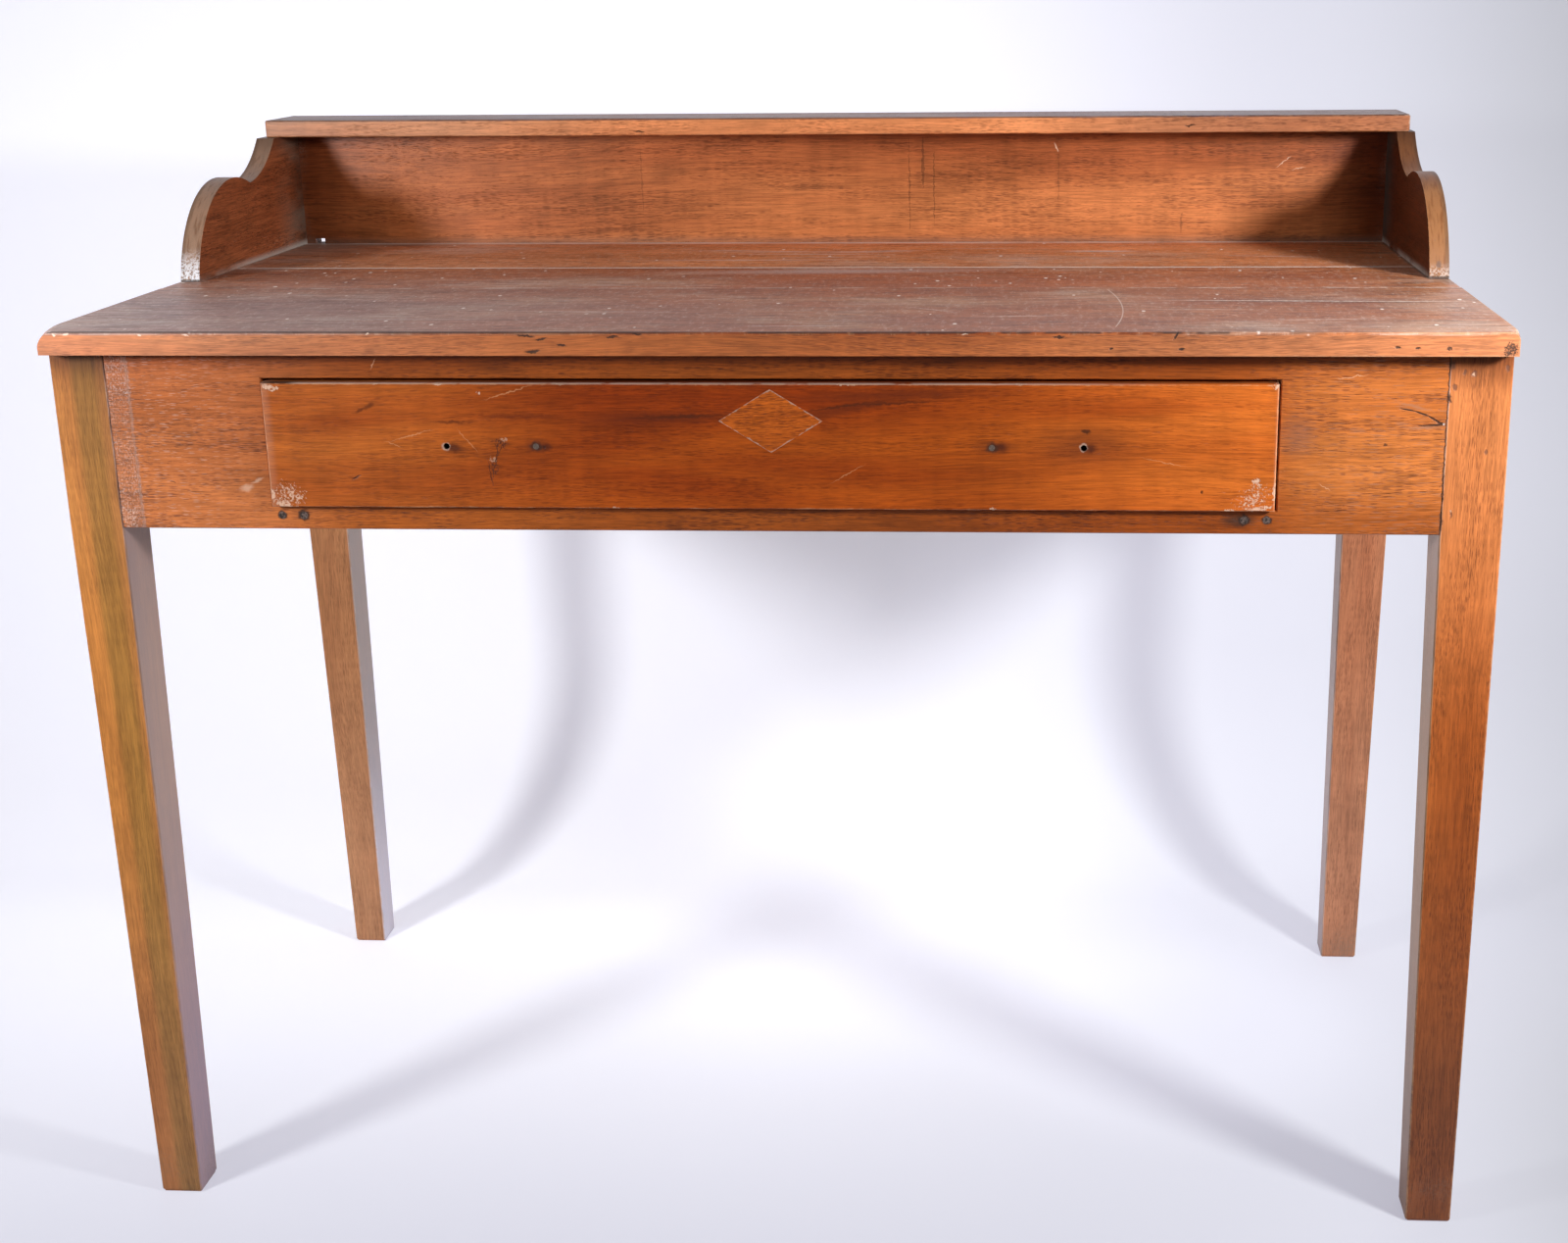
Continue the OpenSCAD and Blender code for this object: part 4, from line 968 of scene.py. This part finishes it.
bm = solid_of("drawer_front")
low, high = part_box("drawer_front")
face = low.y
finish = Finish(
    "drawer_front_varnish", ((0.37, 0.072, 0.0058), (0.30, 0.050, 0.0038), (0.15, 0.021, 0.0025)),
    seed=71.9, tilt=0.006, streaks=0.18, fibres=0.30, ripple=0.35, pores=0.42, rows=1200, dull=0.36,
)
# Painted sheen: both ends of the face are made paler and yellower, as the side lamps' sheen makes them
# look.
finish.shade(finish.along("X", -0.10, -0.37), (1.05, 1.42, 2.8))
finish.shade(finish.along("X", 0.12, 0.36), (1.38, 1.73, 2.9))
dark_middle = finish.meet(X=(-0.30, -0.12, 0.20, 0.02), Z=(0.665, 0.705))
finish.shade(dark_middle, (0.72, 0.55, 0.45))
smears = [(-87, 692.5, 100, 9, 1), (-190, 694, 60, 3), (100, 711, 140, 8, 2), (60, 700, 90, 7, 12)]
finish.spots(smears, face, (0.11, 0.018, 0.004), 0.65, soft=0.85)
sharp_streaks = [
    (-306.7, 701.9, 12, 3.6, 26), (-313, 698.8, 12, 2.0, 20), (-243, 689.3, 28, 2.2),
    (56, 702, 56, 1.8, 8), (95, 704.6, 56, 2.0, 3), (-66, 694, 62, 2.6, 2),
]
finish.spots(sharp_streaks, face, (0.06, 0.014, 0.004), 0.65, soft=0.7)
crackle = finish.marks([(-207, 673, 24, 13), (-212.5, 655, 12, 24)], face, soft=0.8)
finish.stain(finish.flaked(crackle, 380.0, 0.54), (0.07, 0.020, 0.009), 0.8, dull=0.7, lower=0.1)
pale_crackle = finish.marks([(-212.5, 660, 8, 8), (-203, 676, 10, 6)], face, soft=0.8)
finish.stain(finish.flaked(pale_crackle, 520.0, 0.56), (0.55, 0.33, 0.22), 0.7)
smoky = finish.marks([
    (-140, 672, 150, 26, 8), (-60, 640, 130, 22, -6), (40, 655, 160, 20, -4), (260, 700, 120, 14, 2),
    (-330, 690, 90, 16, 5),
], face, soft=0.95)
finish.shade(smoky, (0.72, 0.58, 0.50), 0.8)
dark_clouds = [(239.5, 672, 60, 26), (-179, 671, 16, 8), (172, 671, 26, 8)]
finish.spots(dark_clouds, face, (0.09, 0.02, 0.007), 0.55, soft=0.8)

# Chipped corners and arrises, where the bare wood shows.
chips = finish.marks([
    (-384, 716.5, 14, 7, -10), (-379, 715, 14, 4, 15), (-381, 625, 24, 10, -20), (-389, 632, 7, 18),
    (383, 718, 12, 7), (372, 624, 30, 6, 10), (384, 636, 6, 24), (370, 644, 11, 12, 30),
    (171, 623.0, 8, 3), (190, 719.0, 10, 2.6), (350, 622.6, 14, 4), (-120, 622.4, 8, 2.6),
    (-300, 719.0, 9, 2.4), (60, 719.0, 30, 2.2), (-221, 712, 4, 4), (-252, 718.6, 14, 2.4),
    (-160, 718.8, 16, 2.0),
], face, soft=0.8, thick=9.0)
crumbled = finish.marks([(-374, 632, 44, 26, -30), (366, 632, 44, 30, 30)], face, soft=0.95, thick=9.0)
chips = finish.either(finish.flaked(chips, 520.0), finish.flaked(crumbled, 560.0, 0.55))
finish.stain(chips, (0.62, 0.41, 0.30), 0.85, dull=0.8, lower=0.2)

# The upper edge stands proud of the apron: dusty in front, and darker behind, under the top, as painted
# shade in the gap above the drawer.
upper_edge = finish.along("Z", high.z - 1.0 * MM, high.z - 0.2 * MM)
shade_behind_edge = finish.along("Y", low.y + 5.8 * MM, low.y + 6.8 * MM)
shade_behind_edge = finish.either(shade_behind_edge, finish.along("X", -0.345, -0.370))
shade_behind_edge = finish.meet(shade_behind_edge, upper_edge, Y=(low.y + 10 * MM, low.y + 8 * MM))
finish.stain(shade_behind_edge, (0.045, 0.025, 0.018), 0.9, dull=0.8)
dusty_edge = finish.meet(
    upper_edge, finish.patches(0.30, 0.45, 60.0, detail=3.0),
    Y=(low.y + 5.6 * MM, low.y + 4.0 * MM), X=(-0.372, -0.360, 0.33, 0.15),
)
finish.stain(dusty_edge, (0.46, 0.34, 0.28), 0.85, dull=0.8)

pale_scratches = [
    (-198, 712.4, 36, 0.9, 17), (-275, 679, 32, 0.7, 15), (-232, 675, 20, 0.7, -50),
    (-290, 672, 12, 0.6, -20), (300, 660, 30, 0.6, -12), (60, 650, 26, 0.6, 30),
]
finish.spots(pale_scratches, face, (0.60, 0.27, 0.12), 0.6, soft=0.5)
dark_scratches = [
    (-211, 660, 34, 0.7, 78), (-216, 650, 20, 0.6, 100), (-207, 668, 16, 0.6, 60),
    (-320.9, 645.8, 7, 1.4, 30), (240.7, 683.4, 7, 3.4), (329, 637, 2.4, 2.4), (-172.5, 670, 2.4, 2.4),
]
finish.spots(dark_scratches, face, (0.05, 0.014, 0.005), 0.85, lower=0.3)

# The screw holes of the pulls: stained round about, the outer two open and the inner two filled.
stained = [(-243, 669.5, 12, 7, -10), (-172.5, 670, 10, 5), (244, 670, 9, 7), (176, 671, 12, 6)]
finish.spots(stained, face, (0.06, 0.013, 0.005), 0.8, soft=0.7)
hole_rims = [(-249.0, 670.3, 6.2, 6.0), (239.0, 670.9, 6.4, 6.2)]
finish.spots(hole_rims, face, (0.46, 0.32, 0.25), 0.7, soft=0.25, thick=4.0, dull=0.8)
filled = [(-179.1, 670.55, 8.6, 7.4), (169.9, 670.55, 8.2, 7.8)]
finish.spots(filled, face, (0.045, 0.018, 0.010), 0.85, dull=0.8)
holes = [(x, 670.55, 4.8, 4.8) for x in (-248.5, 239.3)]
finish.spots(holes, face, (0.01, 0.006, 0.004), 0.97, soft=0.1, ragged=False)

worn = finish.corners(low, high, 1.4 * MM, 1.6)
finish.stain(worn, (0.52, 0.28, 0.15), 0.5, dull=0.6)
left_end = finish.along("X", low.x + 9 * MM, low.x)
board_ends = finish.either(left_end, finish.along("X", high.x - 3 * MM, high.x + MM))
finish.stain(finish.meet(board_ends, finish.dust()), (0.56, 0.38, 0.32), 0.55, dull=0.6)
finish.stain(board_ends, (0.50, 0.27, 0.19), 0.22, dull=0.5)
face_corners = corners_of(bm, lambda a, b: (
    abs(a.y - face) < MM / 10 and abs(b.y - face) < MM / 10 and (a - b).length > 60 * MM
))
round_off(bm, face_corners, 1.1 * MM, "X", uneven=0.7 * MM, step=6 * MM, seed=7.7)
face_varnish = finish.varnish(shine=0.18)
piece_from(bm, "drawer_face_board", "drawer_front", "drawer", face_varnish)

bm = solid_of("diamond_inlay")
low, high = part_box("diamond_inlay")
finish = Finish(
    "diamond_wood", ((0.52, 0.120, 0.013), (0.43, 0.085, 0.008), (0.20, 0.036, 0.006)),
    seed=81.2, tilt=0.05, streaks=0.5, fibres=0.4, pores=0.8, dull=0.40,
)
middle = (low + high) / 2
half = (high - low) / 2
parts = add(finish.tree, "SeparateXYZ", {"Vector": finish.ragged}).outputs
way_out = []
for i in (0, 2):
    away = reckon(finish.tree, "ABSOLUTE", reckon(finish.tree, "SUBTRACT", parts[i], middle[i]))
    way_out.append(reckon(finish.tree, "DIVIDE", away, half[i]))
glue_line = fade(finish.tree, reckon(finish.tree, "ADD", *way_out), 0.955, 0.995)
crumbs = cloud(finish.tree, finish.place, 150.0, (1, 1, 1), 3.0, 0.7)
glue_line = finish.meet(glue_line, fade(finish.tree, crumbs, 0.30, 0.50, 0.25, 1.0))
finish.stain(glue_line, (0.48, 0.33, 0.26), 0.75, dull=0.7)
round_off(bm, corners_of(bm), 0.25 * MM)
piece_from(bm, "diamond", "diamond_inlay", "drawer", finish.varnish(shine=0.2))

bm = solid_of("hole_plugs")
finish = Finish(
    "plug_wood", ((0.13, 0.095, 0.078), (0.085, 0.055, 0.042), (0.03, 0.018, 0.012)),
    along="Y", seed=85.0, fibres=0.4, pores=0.3, dull=0.7,
)
piece_from(bm, "filled_holes", "hole_plugs", "drawer", finish.varnish(coat=0.0))

box_parts = (("drawer_side_left", "Y"), ("drawer_side_right", "Y"), ("drawer_back", "X"),
             ("drawer_bottom_front", "X"), ("drawer_bottom_rear", "X"))
for i, (node_name, along) in enumerate(box_parts):
    bm = solid_of(node_name)
    finish = Finish(
        node_name + "_bare_wood", ((0.52, 0.34, 0.18), (0.42, 0.25, 0.12), (0.26, 0.13, 0.055)),
        along=along, seed=90.0 + i * 2.1, streaks=0.45, fibres=0.5, pores=0.4, dull=0.65,
    )
    finish.stain(finish.dust(), (0.30, 0.25, 0.20), 0.35, dull=0.85)
    round_off(bm, corners_of(bm), 0.5 * MM, along)
    thin_varnish = finish.varnish(coat=0.05)
    piece_from(bm, node_name + "_board", node_name, "drawer", thin_varnish)


# The studio.
# A white sheet swept up behind the desk, a lamp on either side in front of it, and the camera.

sheet_half = 6.0
floor_run = 6.5
wall_height = 5.0
bend_start = 0.38
bend_radius = 0.23


def move_new(bm, made, by):
    """Moves the points that an operator made."""
    bmesh.ops.translate(bm, verts=[v for v in made["geom"] if isinstance(v, bmesh.types.BMVert)], vec=by)


bm = bmesh.new()
ends = [bm.verts.new((x, bend_start, 0.0)) for x in (sheet_half, -sheet_half)]
line = bm.edges.new(ends)
swept = bmesh.ops.spin(
    bm, geom=[line, *ends], cent=(0.0, bend_start, bend_radius), axis=(1, 0, 0),
    angle=math.radians(90), steps=40, use_merge=False, use_duplicate=False,
)
bend_top = [e for e in swept["geom_last"] if isinstance(e, bmesh.types.BMEdge)]
move_new(bm, bmesh.ops.extrude_edge_only(bm, edges=bend_top), (0, 0, wall_height))
bend_foot = [
    e for e in bm.edges
    if e.is_boundary and all(abs(v.co.z) < 1e-6 and abs(v.co.y - bend_start) < 1e-6 for v in e.verts)
]
move_new(bm, bmesh.ops.extrude_edge_only(bm, edges=bend_foot), (0, -floor_run, 0))
bmesh.ops.recalc_face_normals(bm, faces=bm.faces)
if min(f.normal.z for f in bm.faces) < -0.01:
    bmesh.ops.reverse_faces(bm, faces=bm.faces)
mesh = bpy.data.meshes.new("paper_sweep")
bm.to_mesh(mesh)
bm.free()
mesh.shade_smooth()
sweep = bpy.data.objects.new("paper_sweep", mesh)
bpy.context.scene.collection.objects.link(sweep)

# The paper is lit as any sheet is. What the camera and the varnish see of it glows a little besides, so
# that it is white without more light on the desk, and keeps the desk's shadow. The paper's colour seen by
# the camera and this glow are painted to vary: painted shade to the front and the right, a painted shadow
# under the desk, and painted light where the legs' shadows cross.
paper = bpy.data.materials.new("white_paper")
paper.use_nodes = True
t = paper.node_tree
t.nodes.clear()
path = add(t, "LightPath").outputs
seen = reckon(t, "MAXIMUM", path["Is Camera Ray"], path["Is Glossy Ray"])
seen = reckon(t, "MAXIMUM", seen, path["Is Transmission Ray"])
place = add(t, "TexCoord").outputs["Object"]
across, along_floor, up = add(t, "SeparateXYZ", {"Vector": place}).outputs
# What the camera sees of the paper is painted darker towards the front and the right: painted shade.
unshaded = reckon(t, "MULTIPLY", fade(t, across, 0.50, -0.15), fade(t, along_floor, -0.45, 0.40))
shown_tone = tint(t, unshaded, (0.26, 0.27, 0.28), (0.68, 0.69, 0.72))
paper_tone = tint(t, path["Is Camera Ray"], (0.76, 0.76, 0.77), shown_tone)
lit = add(t, "BsdfDiffuse", {"Color": paper_tone}).outputs[0]
# Painted light and shade: the glow rises towards the middle right, and falls away at the far right and
# high up.
rise_right = fade(t, across, -0.15, 0.40)
fall_right = fade(t, across, 0.45, 0.95)
wall_glow = reckon(t, "MULTIPLY_ADD", fall_right, -0.25, 0.44)
wall_glow = reckon(t, "MULTIPLY_ADD", rise_right, 0.13, wall_glow)
high_right = reckon(t, "MULTIPLY", fade(t, across, 0.0, 0.95), fade(t, up, 0.35, 0.95))
wall_glow = reckon(t, "MULTIPLY_ADD", high_right, -0.12, wall_glow)
# Painted shadow: the glow is lowered in a V under the desk.
from_middle = reckon(t, "ABSOLUTE", reckon(t, "SUBTRACT", across, 0.02))
painted_shadow_under_desk = fade(t, reckon(t, "MULTIPLY_ADD", from_middle, -0.43, up), 0.17, 0.39)
painted_shadow_under_desk = reckon(t, "MULTIPLY", painted_shadow_under_desk, fade(t, from_middle, 0.62, 0.45))
painted_shadow_under_desk = reckon(t, "MULTIPLY", painted_shadow_under_desk, fade(t, up, 0.62, 0.52))
wall_glow = reckon(t, "MULTIPLY_ADD", painted_shadow_under_desk, -0.16, wall_glow)
front_glow = reckon(t, "MULTIPLY_ADD", fall_right, -0.42, 0.49)
front_glow = reckon(t, "MULTIPLY_ADD", rise_right, -0.03, front_glow)
glow = {0: fade(t, along_floor, -0.30, 0.35), 2: front_glow, 3: wall_glow}
glow = add(t, "Mix", glow, data_type="FLOAT").outputs[0]
# Painted light: two soft spots of more glow on the floor, where the legs' shadows cross.
for spot, reach, painted_light in (((0.0, 0.30, 0.0), 0.42, 0.09), ((0.34, 0.07, 0.0), 0.26, 0.07)):
    away = vector(t, "LENGTH", vector(t, "SUBTRACT", place, spot))
    glow = reckon(t, "MULTIPLY_ADD", fade(t, away, reach, 0.10), painted_light, glow)
glow = reckon(t, "MULTIPLY", seen, glow)
glow = add(t, "Emission", {"Color": (0.93, 0.92, 1.10), "Strength": glow}).outputs[0]
both_sides = add(t, "AddShader", {0: lit, 1: glow}).outputs[0]
see_through = add(t, "BsdfTransparent").outputs[0]
from_behind = add(t, "NewGeometry").outputs["Backfacing"]
surface = add(t, "MixShader", {0: from_behind, 1: both_sides, 2: see_through}).outputs[0]
add(t, "OutputMaterial", {"Surface": surface})
mesh.materials.append(paper)

room = bpy.data.worlds.new("studio_room")
bpy.context.scene.world = room
room.use_nodes = True
t = room.node_tree
t.nodes.clear()
path = add(t, "LightPath").outputs
aim = add(t, "SeparateXYZ", {"Vector": add(t, "TexCoord").outputs["Generated"]}).outputs
fill = fade(t, aim[1], -0.6, 0.6, 0.14, 0.40)
mirrored = reckon(t, "MAXIMUM", path["Is Glossy Ray"], path["Is Transmission Ray"])
mirrored = reckon(t, "MULTIPLY", mirrored, fade(t, aim[1], -0.5, 0.3, 0.12, 0.95))
seen = reckon(t, "MAXIMUM", path["Is Camera Ray"], mirrored)
strength = reckon(t, "MAXIMUM", reckon(t, "MULTIPLY", seen, 0.95), fill)
light = add(t, "Background", {"Color": (0.98, 0.99, 1.0), "Strength": strength}).outputs[0]
add(t, "OutputWorld", {"Surface": light})

lamps = (
    ("left", (-1.09, -0.935, 0.99), (-0.62, 0.0, 0.50), 7.4),
    ("right", (1.166, -0.84, 1.10), (0.60, 0.0, 0.52), 12.6),
)
for side, at, aimed_at, power in lamps:
    lamp = bpy.data.lights.new(side + "_lamp", "AREA")
    lamp.shape = "DISK"
    lamp.size = 0.22
    lamp.spread = math.radians(115)
    lamp.energy = power
    holder = bpy.data.objects.new(side + "_lamp", lamp)
    holder.location = at
    holder.rotation_euler = (Vector(aimed_at) - Vector(at)).to_track_quat("-Z", "Y").to_euler()
    bpy.context.scene.collection.objects.link(holder)

camera = bpy.data.cameras.new("camera")
camera.sensor_width = 36.0
camera.lens = 47.82
camera.shift_x = -0.0928
camera.shift_y = -0.0115
camera_place = (0.21261, -1.82442, 1.00866)
yaw, pitch, roll = -0.0589, 0.28992, -0.00927
right = Vector((math.cos(yaw), -math.sin(yaw), 0))
ahead = Vector((math.sin(yaw), math.cos(yaw), 0)) * math.cos(pitch) - Vector((0, 0, math.sin(pitch)))
over = right.cross(ahead)
across = right * math.cos(roll) + over * math.sin(roll)
over = -right * math.sin(roll) + over * math.cos(roll)
stand = bpy.data.objects.new("camera", camera)
turned = Matrix((across, over, -ahead)).transposed().to_4x4()
stand.matrix_world = Matrix.Translation(camera_place) @ turned
bpy.context.scene.collection.objects.link(stand)
bpy.context.scene.camera = stand
bpy.context.scene.view_settings.view_transform = "Standard"
